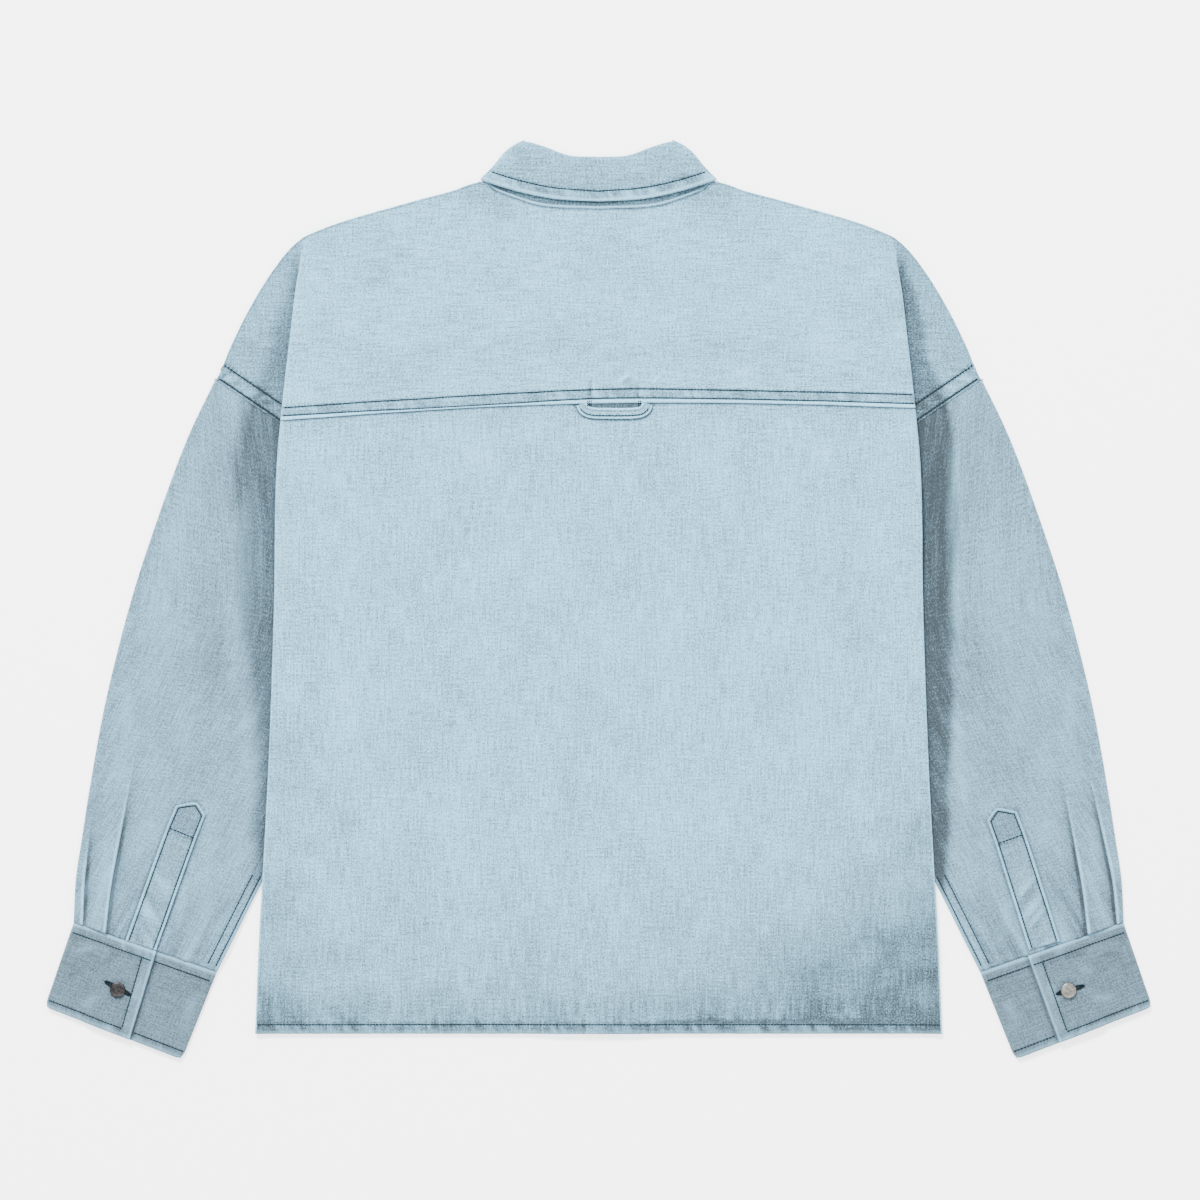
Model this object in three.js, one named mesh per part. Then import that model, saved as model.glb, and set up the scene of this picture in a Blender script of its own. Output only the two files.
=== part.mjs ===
import * as THREE from 'three';
import { mergeVertices } from 'three/addons/utils/BufferGeometryUtils.js';

// An oversized denim overshirt that lies flat with its back up.
// X runs across the back, Y up to the collar, Z up from the surface. Millimetres.
// Tables give the right half in plan; the left half is its mirror unless a table has a side.

// Cloth
const CLOTH = 1.2;
const DOUBLE_CLOTH = 1.6;
const CUFF_CLOTH = 2;
const SEAM_GAP = 0.3;
const LAYER_PITCH = 1.8;
const REST_MIDDLE = CLOTH / 2 + LAYER_PITCH / 2;

// Body and sleeves
const HEM_Y = -366.8;
const PLEAT_RADIUS = 1.75;
const PLEAT_LIFT = 4 * PLEAT_RADIUS;
const SLEEVE_LIFT = 3.6;
const TURNED_UNDER = 18;
const EDGE_INSET = LAYER_PITCH / 2 + CLOTH / 2;
const BODY_PUFF = 0.9;
const SLEEVE_PUFF = 1.8;
const PLACKET_HALF = 16;
const PLACKET_LIFT = 2.2;
const COLLAR_LIFT = 1.9;
const TURN_CLEAR = 0.6;

// How the body climbs onto the sleeve, the collar points and the front buttons
const SLEEVE_RAMP = { start: 78, length: 52 };
const COLLAR_RAMP = { x: 158, xLength: 30, y: 200, yLength: 24 };
const BUTTON_RAMP = { x: 62, length: 38 };
const DEEP_RAMP = { y: -40, length: 100 };

// Rows and columns of the shared grids
const NECK_X = [0, 22, 44, 64, 80, 90];
const SHOULDER_X = [98, 125, 165, 210];
const SEAM_X = 266;
const SHOULDER_TURN_X = 243;
const TOP_COLUMNS = 11;
const BOTTOM_COLUMNS = 6;
const PLEAT_SEGMENTS = 4;
const PLEAT_SPREAD = 12;
const FRONT_LOW_ROWS = 9;
const ARMHOLE_X = 322;
const SHOULDER_END_X = 316.5;
// Rows from the yoke seam to the shoulder, close together where the pleat opens out
const SHOULDER_ROWS = [0, 0.25, 0.5, 0.68, 0.76, 0.775, 0.784, 0.793, 0.805, 0.825, 0.86, 0.92, 1];
const SLEEVE_STATIONS = [
  0.002, 0.03, 0.038, 0.044, 0.05, 0.056, 0.063, 0.072, 0.085, 0.13,
  0.2, 0.28, 0.38, 0.5, 0.62, 0.76, 0.88, 0.996,
];

// Sleeve pleats: cover of the fold, run when open, room to the next fold and over the inner one
const PLEAT_COVER = CLOTH / 2;
const PLEAT_OPEN = 18;
const PLEAT_STEP = 6;
const PLEAT_CREST = 3;

// Cuff
const CUFF_LOW_Z = CUFF_CLOTH / 2;
const CUFF_PITCH = CUFF_CLOTH + SEAM_GAP;
const CUFF_LAP = 0.25;
const CUFF_RAMP = 0.09;
const CUFF_WIDTH = 128;

// Collar
const COLLAR_SIDE_OUT = new THREE.Vector2(34, 36).normalize();
const COLLAR_SIDE_INSET = 3.25;
const COLLAR_ROWS = 4;
const LEAF_BACK_Z = 5.7;
const LEAF_FRONT_Z = 0.8;
const STAND_BACK_Z = 4;
const STAND_FRONT_Z = 2.5;
const STAND_SIDE_X = 96;
const STAND_CLEAR = 1.2;
const STAND_ROWS = [0.08, 0.55, 1];

// Buttons
const BUTTON_RADIUS = 6.6;
const BUTTON_HEIGHT = 1.9;
const STAND_BUTTON_HEIGHT = 1.6;
const STAND_BUTTON_Y = 276;
const CUFF_BUTTON_Z = 6.9;
const FRONT_BUTTON_TOP_Y = 225;
const FRONT_BUTTON_STEP = 105;
const FRONT_BUTTONS = 6;

// Colours of the washed cloth and of the dull silver buttons
const DENIM_BODY = 0xbccdd6;
const DENIM_YOKE = 0xbed0da;
const DENIM_SLEEVE = 0xacbec8;
const DENIM_TRIM = 0x98abb5;
const BUTTON_METAL = 0x8f8d8a;

// Visible side edge of the body, from the hem to the top of the shoulder pleat
const BODY_EDGE = [
  { y: -367, x: 290.4 },
  { y: -290, x: 287 },
  { y: -195, x: 281.6 },
  { y: -140, x: 278.8 },
  { y: 0, x: 273.9 },
  { y: 118, x: 271.4 },
  { y: 156, x: 268 },
  { y: 219, x: 260.9 },
  { y: 274, x: 253.8 },
  { y: 308, x: 246 },
];

// Inner edge of the sleeve under the body, then the inner fold of the shoulder pleat
const SLEEVE_INNER = [
  { y: -370, x: 349 },
  { y: -315.5, x: 322.8 },
  { y: -245, x: 287.6 },
  { y: -147, x: 236 },
  { y: -80, x: 203 },
  { y: -40, x: 190 },
  { y: 10, x: 193 },
  { y: 60, x: 206 },
  { y: 117, x: 218 },
  { y: 160, x: 226 },
  { y: 202, x: 235 },
  { y: 245, x: 246 },
  { y: 270, x: 257 },
  { y: 286, x: 268 },
];

// Top outline of the back yoke: the neck seam, the shoulder and the dropped shoulder
const SHOULDER = [
  { x: 104, y: 352 },
  { x: 125, y: 344.9 },
  { x: 151, y: 338.2 },
  { x: 198.4, y: 324.6 },
  { x: 237.2, y: 311.1 },
  { x: 250.8, y: 304.4 },
  { x: 265.5, y: 290.9 },
  { x: 281.2, y: 269.8 },
  { x: 300.6, y: 236 },
  { x: 316.2, y: 202.2 },
  { x: 323.4, y: 187 },
  { x: 330, y: 173 },
];
const BACK_TOP = [
  { x: 0, y: 330.4 },
  { x: 50, y: 333.4 },
  { x: 73, y: 340.5 },
  { x: 88, y: 346.5 },
  { x: 97, y: 352.4 },
  ...SHOULDER,
];
const FRONT_TOP = [
  { x: 0, y: 262 },
  { x: 20, y: 263 },
  { x: 40, y: 270 },
  { x: 60, y: 283 },
  { x: 76, y: 302 },
  { x: 88, y: 327 },
  { x: 97, y: 352.4 },
  ...SHOULDER,
];

// Inner fold of the shoulder pleat from the armhole up to where it opens out at the shoulder
const PLEAT_INNER = [
  { v: 0, x: 221.2, y: 117.8 },
  { v: 0.3, x: 229, y: 172 },
  { v: 0.6, x: 240, y: 228 },
  { v: 0.75, x: 248.6, y: 265 },
  { v: 0.82, x: 254, y: 276 },
  { v: 0.9, x: 261, y: 281 },
  { v: 1, x: 271, y: 281.8 },
];

// Seam between the back yoke and the back panel; its left end lies lower than its right
const YOKE_SEAM = [
  { x: -270, y: 150.7 },
  { x: -83, y: 163 },
  { x: 102, y: 165.9 },
  { x: 270, y: 161.2 },
];

// Ends of the armhole seam: on the inner fold of the pleat and on the outline of the shoulder
const ARMHOLE = [
  { x: 218, y: 115.5 },
  { x: 323.4, y: 187 },
];

// Lines across the sleeve from the cuff to the armhole
const SLEEVE_ROWS = [
  { v: 0, innerX: 322.8, innerY: -315.5, outerX: 443.7, outerY: -273.3 },
  { v: 0.07, innerX: 305, innerY: -280, outerX: 441.8, outerY: -236.8 },
  { v: 0.15, innerX: 287.6, innerY: -245, outerX: 436.9, outerY: -203.1 },
  { v: 0.25, innerX: 260, innerY: -192, outerX: 430.3, outerY: -160 },
  { v: 0.4, innerX: 222, innerY: -120, outerX: 416.5, outerY: -85 },
  { v: 0.55, innerX: 190, innerY: -40, outerX: 395.1, outerY: -0.4 },
  { v: 0.7, innerX: 192.5, innerY: 14, outerX: 370.3, outerY: 75.5 },
  { v: 0.85, innerX: 205, innerY: 62, outerX: 347, outerY: 137.5 },
  { v: 1, innerX: 218, innerY: 115.5, outerX: 323.4, outerY: 187 },
];

// Knife pleats of the sleeve where it meets the cuff: how far across, how long, how deep
const SLEEVE_PLEATS = [
  { side: -1, atCuff: 0.8, atTop: 0.83, length: 0.26, depth: 7 },
  { side: -1, atCuff: 0.94, atTop: 0.945, length: 0.15, depth: 2.6 },
  { side: 1, atCuff: 0.75, atTop: 0.8, length: 0.22, depth: 7 },
  { side: 1, atCuff: 0.935, atTop: 0.89, length: 0.26, depth: 3 },
];

// Corners of the cuff, and where its buttoned end lies on each side
const CUFF = {
  topInner: [322.8, -315.5],
  topOuter: [443.7, -273.3],
  bottomInner: [352, -388.4],
  bottomOuter: [467.9, -343.8],
};
const CUFF_SIDES = [
  { side: -1, overlapTop: 0.42, overlapBottom: 0.38, buttonX: 405.8, buttonY: -329.3 },
  { side: 1, overlapTop: 0.33, overlapBottom: 0.32, buttonX: 396.6, buttonY: -330 },
];

// House-ended strip over the sleeve slit, from its tip to the cuff
const SLEEVE_PLACKETS = [
  { side: -1, tipX: 346.5, tipY: -170.5, endX: 386.3, endY: -291.8 },
  { side: 1, tipX: 343, tipY: -175.5, endX: 376.3, endY: -291.8 },
];
const SLEEVE_PLACKET_WIDTH = 27;
const SLEEVE_PLACKET_TIP = 14;

// Collar in plan: fold line, outer edge and the flattened side between back and front
const COLLAR_FOLD_BACK = [
  { q: 0, x: 0, y: 373.6 },
  { q: 0.35, x: 24, y: 375.3 },
  { q: 0.7, x: 44, y: 381.6 },
  { q: 1, x: 63, y: 388.4 },
];
const COLLAR_EDGE_BACK = [
  { q: 0, x: 0, y: 336 },
  { q: 0.4, x: 40, y: 339.3 },
  { q: 0.7, x: 70, y: 346 },
  { q: 1, x: 100, y: 355.5 },
];
const COLLAR_FOLD_FRONT = [
  { q: 0, x: 9, y: 291 },
  { q: 0.35, x: 33, y: 304 },
  { q: 0.7, x: 54, y: 340 },
  { q: 1, x: 63, y: 388.4 },
];
const COLLAR_EDGE_FRONT = [
  { q: 0, x: 68, y: 236 },
  { q: 0.5, x: 91, y: 293 },
  { q: 1, x: 100, y: 355.5 },
];
// Front ends of the stand: the left one laps over the right one past the middle
const STAND_END_X = [
  { side: -1, x: -8 },
  { side: 1, x: 9.5 },
];

// Hanger loop at the yoke seam: middle of its band in plan
const LOOP_PATH = [
  { x: -14, y: 162.2 },
  { x: -9, y: 159 },
  { x: -1, y: 157.2 },
  { x: 13.4, y: 156.9 },
  { x: 28, y: 157.2 },
  { x: 36, y: 159 },
  { x: 41, y: 162.2 },
];
const LOOP_WIDTH = 8.6;

const shirt = new THREE.Group();

// Value of a table's column at a key, on a smooth curve through its rows
function along(table, key, column, at) {
  const last = table.length - 1;
  let i = 0;
  while (i < last - 1 && at > table[i + 1][key]) i += 1;
  const here = table[i];
  const next = table[i + 1];
  const span = next[key] - here[key];
  const slope = (next[column] - here[column]) / span;
  const slopeOf = (a, b) => (table[b][column] - table[a][column]) / (table[b][key] - table[a][key]);
  const before = i > 0 ? (slope + slopeOf(i - 1, i)) / 2 : slope;
  const after = i < last - 1 ? (slope + slopeOf(i + 1, i + 2)) / 2 : slope;
  const t = THREE.MathUtils.clamp((at - here[key]) / span, 0, 1);
  const bend = t * (1 - t) * span;
  const straight = here[column] + slope * span * t;
  return straight + bend * ((1 - t) * (before - slope) - t * (after - slope));
}

const mix = THREE.MathUtils.lerp;
const ease = (t) => THREE.MathUtils.smoothstep(t, 0, 1);
const steps = (count) => Array.from({ length: count + 1 }, (_, i) => i / count);
const bodyEdge = (y) => along(BODY_EDGE, 'y', 'x', y);
const sleeveInner = (y) => along(SLEEVE_INNER, 'y', 'x', y);
const yokeSeam = (side, x) => along(YOKE_SEAM, 'x', 'y', side * x);
const armhole = (x) => mix(ARMHOLE[0].y, ARMHOLE[1].y, (x - ARMHOLE[0].x) / (ARMHOLE[1].x - ARMHOLE[0].x));

// Top outline, drawn in by the room that the rolled edge takes
function insetTop(table, x) {
  const slope = (along(table, 'x', 'y', x + 1) - along(table, 'x', 'y', Math.max(x - 1, 0))) / 2;
  return along(table, 'x', 'y', x) - EDGE_INSET * Math.hypot(1, Math.min(Math.abs(slope), 3));
}

// How far the sleeve, the collar and the front buttons lift the body off the surface
function lift(x, y) {
  const most = mix(SLEEVE_LIFT, PLEAT_LIFT, ease((y - DEEP_RAMP.y) / DEEP_RAMP.length));
  const inner = y > 130 ? Math.min(sleeveInner(y), bodyEdge(y) - PLEAT_RADIUS) : sleeveInner(y);
  const overSleeve = most * ease((x - inner + SLEEVE_RAMP.start) / SLEEVE_RAMP.length);
  const besideCollar = ease((COLLAR_RAMP.x - x) / COLLAR_RAMP.xLength);
  const overCollar = COLLAR_LIFT * besideCollar * ease((y - COLLAR_RAMP.y) / COLLAR_RAMP.yLength);
  const overButtons = PLACKET_LIFT * ease((BUTTON_RAMP.x - x) / BUTTON_RAMP.length);
  return Math.max(overSleeve, overCollar, overButtons);
}

// Slack of the upper layer, none at folded edges
function bodyPuff(x, y) {
  return BODY_PUFF * ease((bodyEdge(y) - 12 - x) / 60) * ease((y - HEM_Y - 6) / 40) * ease((318 - y) / 40);
}

function sleevePuff(x, y) {
  const outline = y > -273 ? outerAt(y) : outerAt(-273);
  return SLEEVE_PUFF * ease((x - bodyEdge(y) - 3) / 36) * ease((outline - 4 - x) / 26) * ease((y + 322) / 30);
}

function outerAt(y) {
  const shoulder = [...SHOULDER].reverse().filter((row) => row.y > 190);
  const sleeve = SLEEVE_ROWS.map((row) => ({ x: row.outerX, y: row.outerY }));
  return along([...sleeve, ...shoulder], 'y', 'x', y);
}

// Points of a fold that drops from one height to the next, over or under itself
function foldPoints(from, to, radius, segments) {
  const run = to.s - from.s;
  const drop = from.z - to.z;
  const both = 2 * radius;
  const reach = Math.max(Math.hypot(run, both - drop), both);
  const turn = Math.asin(both / reach) - Math.atan2(both - drop, run);
  const first = steps(segments).map((t) => ({
    s: from.s + radius * Math.sin(t * turn),
    z: from.z - radius * (1 - Math.cos(t * turn)),
  }));
  const second = steps(segments).map((t) => ({
    s: to.s - radius * Math.sin((1 - t) * turn),
    z: to.z + radius * (1 - Math.cos((1 - t) * turn)),
  }));
  return [...first, ...second];
}

// A row of points gets its normals from its neighbours in the grid
function dress(points, closed = false) {
  const rows = points.length;
  const columns = points[0].length;
  const unit = (a, b) => new THREE.Vector3().subVectors(b, a).normalize();
  return points.map((row, r) => row.map((point, c) => {
    const left = closed ? row[(c + columns - 1) % columns] : row[Math.max(c - 1, 0)];
    const right = closed ? row[(c + 1) % columns] : row[Math.min(c + 1, columns - 1)];
    const below = points[Math.max(r - 1, 0)][c];
    const above = points[Math.min(r + 1, rows - 1)][c];
    const across = unit(left, point).add(unit(point, right));
    const up = unit(below, point).add(unit(point, above));
    return { point, normal: across.cross(up).normalize() };
  }));
}

// Middle surface of a layer: the shared points moved out, with its slack
function layer(grid, offset, slack = () => 0) {
  return grid.map((row) => row.map(({ point, normal }) => {
    const moved = point.clone().addScaledVector(normal, offset);
    moved.z += slack(Math.abs(point.x), point.y, point.z);
    return { point: moved, normal };
  }));
}

// The last rows of a layer roll towards the layer it is sewn to
function rollTop(grid, middle, offset) {
  const last = middle.length - 1;
  const rolled = [24, 50, 76].map((degrees) => {
    const angle = THREE.MathUtils.degToRad(degrees);
    return middle[last].map(({ point, normal }, c) => {
      const out = point.clone().sub(middle[last - 1][c].point).normalize();
      const turned = normal.clone().multiplyScalar(Math.sign(offset) * Math.cos(angle));
      turned.addScaledVector(out, Math.sin(angle));
      const placed = point.clone().addScaledVector(turned, Math.abs(offset));
      return { point: placed, normal: turned.multiplyScalar(Math.sign(offset)) };
    });
  });
  return [...grid, ...rolled];
}

// A wall of cloth around a grid of middle points; has() says which cells are cloth
function wallGeometry(grid, thickness, { closed = false, has = () => true } = {}) {
  const rows = grid.length;
  const columns = grid[0].length;
  const cellColumns = closed ? columns : columns - 1;
  const positions = [];
  const at = (r, c, face) => {
    const { point, normal } = grid[r][c % columns];
    return point.clone().addScaledVector(normal, face * thickness / 2);
  };
  const triangle = (a, b, c) => positions.push(...a, ...b, ...c);
  const cell = (r, c) => r >= 0 && r < rows - 1 && (closed || (c >= 0 && c < cellColumns))
    && has(r, (c + cellColumns) % cellColumns);
  const border = (r0, c0, r1, c1) => {
    triangle(at(r0, c0, 1), at(r0, c0, -1), at(r1, c1, -1));
    triangle(at(r0, c0, 1), at(r1, c1, -1), at(r1, c1, 1));
  };
  for (let r = 0; r < rows - 1; r += 1) {
    for (let c = 0; c < cellColumns; c += 1) {
      if (!cell(r, c)) continue;
      triangle(at(r, c, 1), at(r, c + 1, 1), at(r + 1, c + 1, 1));
      triangle(at(r, c, 1), at(r + 1, c + 1, 1), at(r + 1, c, 1));
      triangle(at(r, c, -1), at(r + 1, c + 1, -1), at(r, c + 1, -1));
      triangle(at(r, c, -1), at(r + 1, c, -1), at(r + 1, c + 1, -1));
      if (!cell(r - 1, c)) border(r, c, r, c + 1);
      if (!cell(r + 1, c)) border(r + 1, c + 1, r + 1, c);
      if (!cell(r, c - 1)) border(r + 1, c, r, c);
      if (!cell(r, c + 1)) border(r, c + 1, r + 1, c + 1);
    }
  }
  const geometry = new THREE.BufferGeometry();
  geometry.setAttribute('position', new THREE.Float32BufferAttribute(positions, 3));
  return outward(mergeVertices(geometry, 1e-4));
}

// Faces of a closed mesh are turned so that they point out
function outward(geometry) {
  const position = geometry.attributes.position;
  const corner = (i) => new THREE.Vector3().fromBufferAttribute(position, geometry.index.getX(i));
  let volume = 0;
  for (let i = 0; i < geometry.index.count; i += 3) {
    volume += corner(i).dot(corner(i + 1).cross(corner(i + 2)));
  }
  if (volume < 0) {
    const flipped = [...geometry.index.array].reverse();
    geometry.setIndex(flipped);
  }
  return geometry;
}

function addPiece(name, geometry, color, metalness = 0, roughness = 0.9) {
  const mesh = new THREE.Mesh(geometry, new THREE.MeshStandardMaterial({ color, metalness, roughness }));
  mesh.name = name;
  shirt.add(mesh);
  return mesh;
}

const place = (side, x, y, z) => new THREE.Vector3(side * x, y, z);
const flip = (side, list) => (side < 0 ? [...list].reverse() : list);

// Places across the body: round the neck, along the shoulder, the side seam, the side fold
function stations(foldStart, y) {
  return [...NECK_X, ...SHOULDER_X, bodyEdge(y) - TURNED_UNDER - 3 * SEAM_GAP, foldStart];
}

// Half of a row above the yoke seam: over the shoulder, down the pleat, out to the armhole
function shoulderRow(side, v, top, startX) {
  const outerStartX = bodyEdge(yokeSeam(side, SEAM_X)) - PLEAT_RADIUS - EDGE_INSET;
  const lowY = yokeSeam(side, outerStartX);
  const highY = insetTop(top, SHOULDER_TURN_X);
  const outerY = mix(lowY, highY, v);
  const outerX = bodyEdge(outerY) - PLEAT_RADIUS - EDGE_INSET;
  const innerY = along(PLEAT_INNER, 'v', 'y', v);
  const innerX = along(PLEAT_INNER, 'v', 'x', v);
  const row = stations(outerX, outerY).slice(0, -1).map((station) => {
    const x = Math.max(startX, station);
    const y = mix(yokeSeam(side, x) + SEAM_GAP / 2, insetTop(top, x), v);
    return place(side, x, y, REST_MIDDLE + lift(x, y));
  });
  const path = foldPoints(
    { s: outerX, z: REST_MIDDLE + PLEAT_LIFT },
    { s: innerX, z: REST_MIDDLE },
    PLEAT_RADIUS,
    PLEAT_SEGMENTS,
  );
  const run = innerX - outerX;
  const slope = ease(run / PLEAT_SPREAD) * (innerY - outerY) / Math.max(run, PLEAT_RADIUS);
  path.forEach(({ s, z }, i) => {
    const y = i <= PLEAT_SEGMENTS ? outerY + slope * (s - outerX) : innerY + slope * (s - innerX);
    row.push(place(side, s, y, z));
  });
  steps(BOTTOM_COLUMNS).slice(1).forEach((q) => {
    const x = mix(innerX, mix(ARMHOLE_X, SHOULDER_END_X, v), q);
    const y = mix(armhole(x) + SEAM_GAP / 2, insetTop(top, x), v);
    row.push(place(side, x, y, REST_MIDDLE));
  });
  return row;
}

function shoulderPuff(x, y, z) {
  if (x > bodyEdge(y)) return sleevePuff(x, y);
  return z > REST_MIDDLE + lift(x, y) - CLOTH ? bodyPuff(x, y) : 0;
}

function makeYoke() {
  const middle = SHOULDER_ROWS.map((v) => {
    const right = shoulderRow(1, v, BACK_TOP, 0);
    const left = shoulderRow(-1, v, BACK_TOP, 0).slice(1).reverse();
    return [...left, ...right];
  });
  const dressed = dress(middle);
  const half = LAYER_PITCH / 2;
  const grid = rollTop(layer(dressed, half, shoulderPuff), dressed, half);
  addPiece('back_yoke', wallGeometry(grid, CLOTH), DENIM_YOKE);
}

// Back panel: its sides turn under to the side seams
function makeBackPanel() {
  const rowHeights = steps(9);
  const halfRow = (side, w) => {
    const edgeY = mix(HEM_Y, yokeSeam(side, SEAM_X), w);
    return stations(foldX(edgeY), edgeY).map((x) => {
      const y = mix(HEM_Y, yokeSeam(side, x) - SEAM_GAP / 2, w);
      return place(side, x, y, REST_MIDDLE + lift(x, y));
    });
  };
  const middle = rowHeights.map((w) => [...halfRow(-1, w).slice(1).reverse(), ...halfRow(1, w)]);
  const upper = layer(dress(middle), LAYER_PITCH / 2, bodyPuff);
  const grid = upper.map((row, r) => {
    const w = rowHeights[r];
    return [...turnUnder(-1, row[0].point, w).reverse(), ...row, ...turnUnder(1, row.at(-1).point, w)];
  });
  addPiece('back_panel', wallGeometry(grid, CLOTH), DENIM_BODY);
}

// Radius of the body's side fold: wide beside the pleat, tight below it
function turnRadius(y) {
  return LAYER_PITCH / 2 + PLEAT_RADIUS * ease((y - 60) / 80);
}

// Where the side fold begins to turn down
const foldX = (y) => bodyEdge(y) - turnRadius(y) - CLOTH / 2;

function turnUnder(side, edge, w) {
  const radius = turnRadius(edge.y);
  const slope = (edge.y - PLEAT_INNER[0].y) / (Math.abs(edge.x) - PLEAT_INNER[0].x);
  const slant = (slope + 0.1) * ease((w - 0.85) / 0.15);
  const centre = edge.clone().setZ(edge.z - radius);
  centre.y -= TURN_CLEAR * slant;
  const turn = [30, 60, 90, 120, 150, 180].map((degrees) => {
    const angle = THREE.MathUtils.degToRad(degrees);
    const normal = new THREE.Vector3(side * Math.sin(angle), 0, Math.cos(angle));
    return { point: centre.clone().addScaledVector(normal, radius), normal };
  });
  const under = [0.5, 1].map((q) => {
    const inward = q * (TURNED_UNDER - radius - CLOTH / 2);
    const point = centre.clone().add(new THREE.Vector3(-side * inward, -slant * inward, -radius));
    const above = REST_MIDDLE + lift(Math.abs(point.x), point.y) + LAYER_PITCH / 2;
    point.z = Math.min(point.z, above - 2 * radius);
    return { point, normal: new THREE.Vector3(0, 0, -1) };
  });
  return [...turn, ...under];
}

// Front half: below the armhole it ends at the side seam, above it the pleat runs in it too
function makeFront(side, name) {
  const low = steps(FRONT_LOW_ROWS).slice(0, -1).map((w) => {
    const edgeY = mix(HEM_Y, yokeSeam(side, SEAM_X), w);
    const row = stations(foldX(edgeY), edgeY).map((station) => {
      const x = Math.max(PLACKET_HALF + SEAM_GAP, station);
      const y = mix(HEM_Y, yokeSeam(side, x), w);
      return place(side, x, y, REST_MIDDLE + lift(x, y));
    });
    const spare = shoulderRow(side, 0, FRONT_TOP, PLACKET_HALF + SEAM_GAP).slice(TOP_COLUMNS + 1);
    return [...row, ...spare];
  });
  const high = SHOULDER_ROWS.map((v) => shoulderRow(side, v, FRONT_TOP, PLACKET_HALF + SEAM_GAP));
  const ordered = [low, high].map((rows) => rows.map((row) => flip(side, row)));
  const dressed = dressFront(side, ...ordered);
  const half = -LAYER_PITCH / 2;
  const grid = rollTop(layer(dressed, half), dressed, half);
  const last = grid[0].length - 2;
  const has = (r, cell) => {
    const c = side < 0 ? last - cell : cell;
    return r >= FRONT_LOW_ROWS || c < TOP_COLUMNS - 1 || (c < TOP_COLUMNS && r === FRONT_LOW_ROWS - 1);
  };
  addPiece(name, wallGeometry(grid, CLOTH, { has }), DENIM_BODY);
}

// Normals of the rows above the seam come from those rows alone, past the side seam
function dressFront(side, low, high) {
  const all = dress([...low, ...high]);
  const top = dress(high);
  return all.map((row, r) => row.map((item, c) => {
    const column = side < 0 ? row.length - 1 - c : c;
    const spare = r >= FRONT_LOW_ROWS && column > TOP_COLUMNS;
    return spare ? top[r - FRONT_LOW_ROWS][c] : item;
  }));
}

// Band down the front that carries the buttons
function makeFrontPlacket() {
  const middle = steps(14).map((w) => steps(2).map((q) => {
    const x = mix(-PLACKET_HALF, PLACKET_HALF, q);
    const y = mix(HEM_Y, insetTop(FRONT_TOP, Math.abs(x)), w);
    return new THREE.Vector3(x, y, REST_MIDDLE - LAYER_PITCH / 2 + lift(Math.abs(x), y));
  }));
  addPiece('front_placket', wallGeometry(dress(middle), CLOTH), DENIM_TRIM);
}

function sleeveFrame(v) {
  const value = (column) => along(SLEEVE_ROWS, 'v', column, v);
  const inner = new THREE.Vector2(value('innerX'), value('innerY'));
  const outer = new THREE.Vector2(value('outerX'), value('outerY'));
  const across = outer.clone().sub(inner);
  const width = across.length();
  across.normalize();
  return { inner, across, width };
}

// Ring round the flattened sleeve, with its two knife pleats near the cuff
function sleeveSection(side, v) {
  const { inner, across, width } = sleeveFrame(v);
  const half = LAYER_PITCH / 2;
  const middle = REST_MIDDLE;
  const pleats = SLEEVE_PLEATS.filter((row) => row.side === side);
  const fadeOf = (pleat) => ease(1 - v / pleat.length);
  const heightOf = (pleat) => Math.min(fadeOf(pleat) * 1.6, 1);
  const rim = half + LAYER_PITCH * heightOf(pleats[1]);
  const start = EDGE_INSET;
  const end = width - rim - CLOTH / 2;
  const rise = (s) => {
    const spot = inner.clone().addScaledVector(across, s);
    return sleevePuff(spot.x, spot.y);
  };
  const path = steps(4).map((q) => ({ s: mix(start, end, q), z: middle - half }));
  [45, 90, 135].forEach((degrees) => {
    const angle = THREE.MathUtils.degToRad(degrees);
    path.push({ s: end + rim * Math.sin(angle), z: middle - half + rim * (1 - Math.cos(angle)) });
  });
  const edges = pleats.map((pleat) => {
    return mix(pleat.atCuff, pleat.atTop, Math.min(v / pleat.length, 1)) * width;
  });
  const room = edges[1] - edges[0] - PLEAT_STEP - 1.5 * PLEAT_CREST;
  let from = end;
  [1, 0].forEach((k) => {
    const pleat = pleats[k];
    const height = heightOf(pleat);
    const open = k === 1 ? Math.min(PLEAT_OPEN, room) : PLEAT_OPEN;
    const run = mix(open, -pleat.depth, Math.max((fadeOf(pleat) - 0.62) / 0.38, 0));
    const upper = { s: -(edges[k] + half + PLEAT_COVER), z: middle + half + 2 * LAYER_PITCH * height };
    const lower = { s: upper.s + run, z: middle + half };
    const beyond = Math.max(PLEAT_CREST - upper.s, half + CLOTH + PLEAT_COVER - lower.s);
    const crest = k === 1 ? (from - upper.s) / 2 : beyond;
    path.push({ s: from, z: (k === 1 ? upper.z : middle + half) + rise(from) });
    path.push({ s: crest, z: upper.z + rise(crest) });
    const folded = foldPoints(upper, lower, half, 3);
    folded.forEach(({ s, z }, i) => {
      const spread = mix(upper.s, lower.s, i / (folded.length - 1));
      const eased = mix(spread, s, height);
      path.push({ s: -eased, z: z + rise(-eased) });
    });
    from = -lower.s - PLEAT_STEP;
  });
  steps(5).slice(1).forEach((q) => {
    const s = mix(from, start, q);
    path.push({ s, z: middle + half + rise(s) });
  });
  [45, 90, 135].forEach((degrees) => {
    const angle = THREE.MathUtils.degToRad(degrees);
    path.push({ s: start - half * Math.sin(angle), z: middle + half * Math.cos(angle) });
  });
  return path.map(({ s, z }) => {
    const spot = inner.clone().addScaledVector(across, s);
    return place(side, spot.x, spot.y, z);
  });
}

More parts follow.
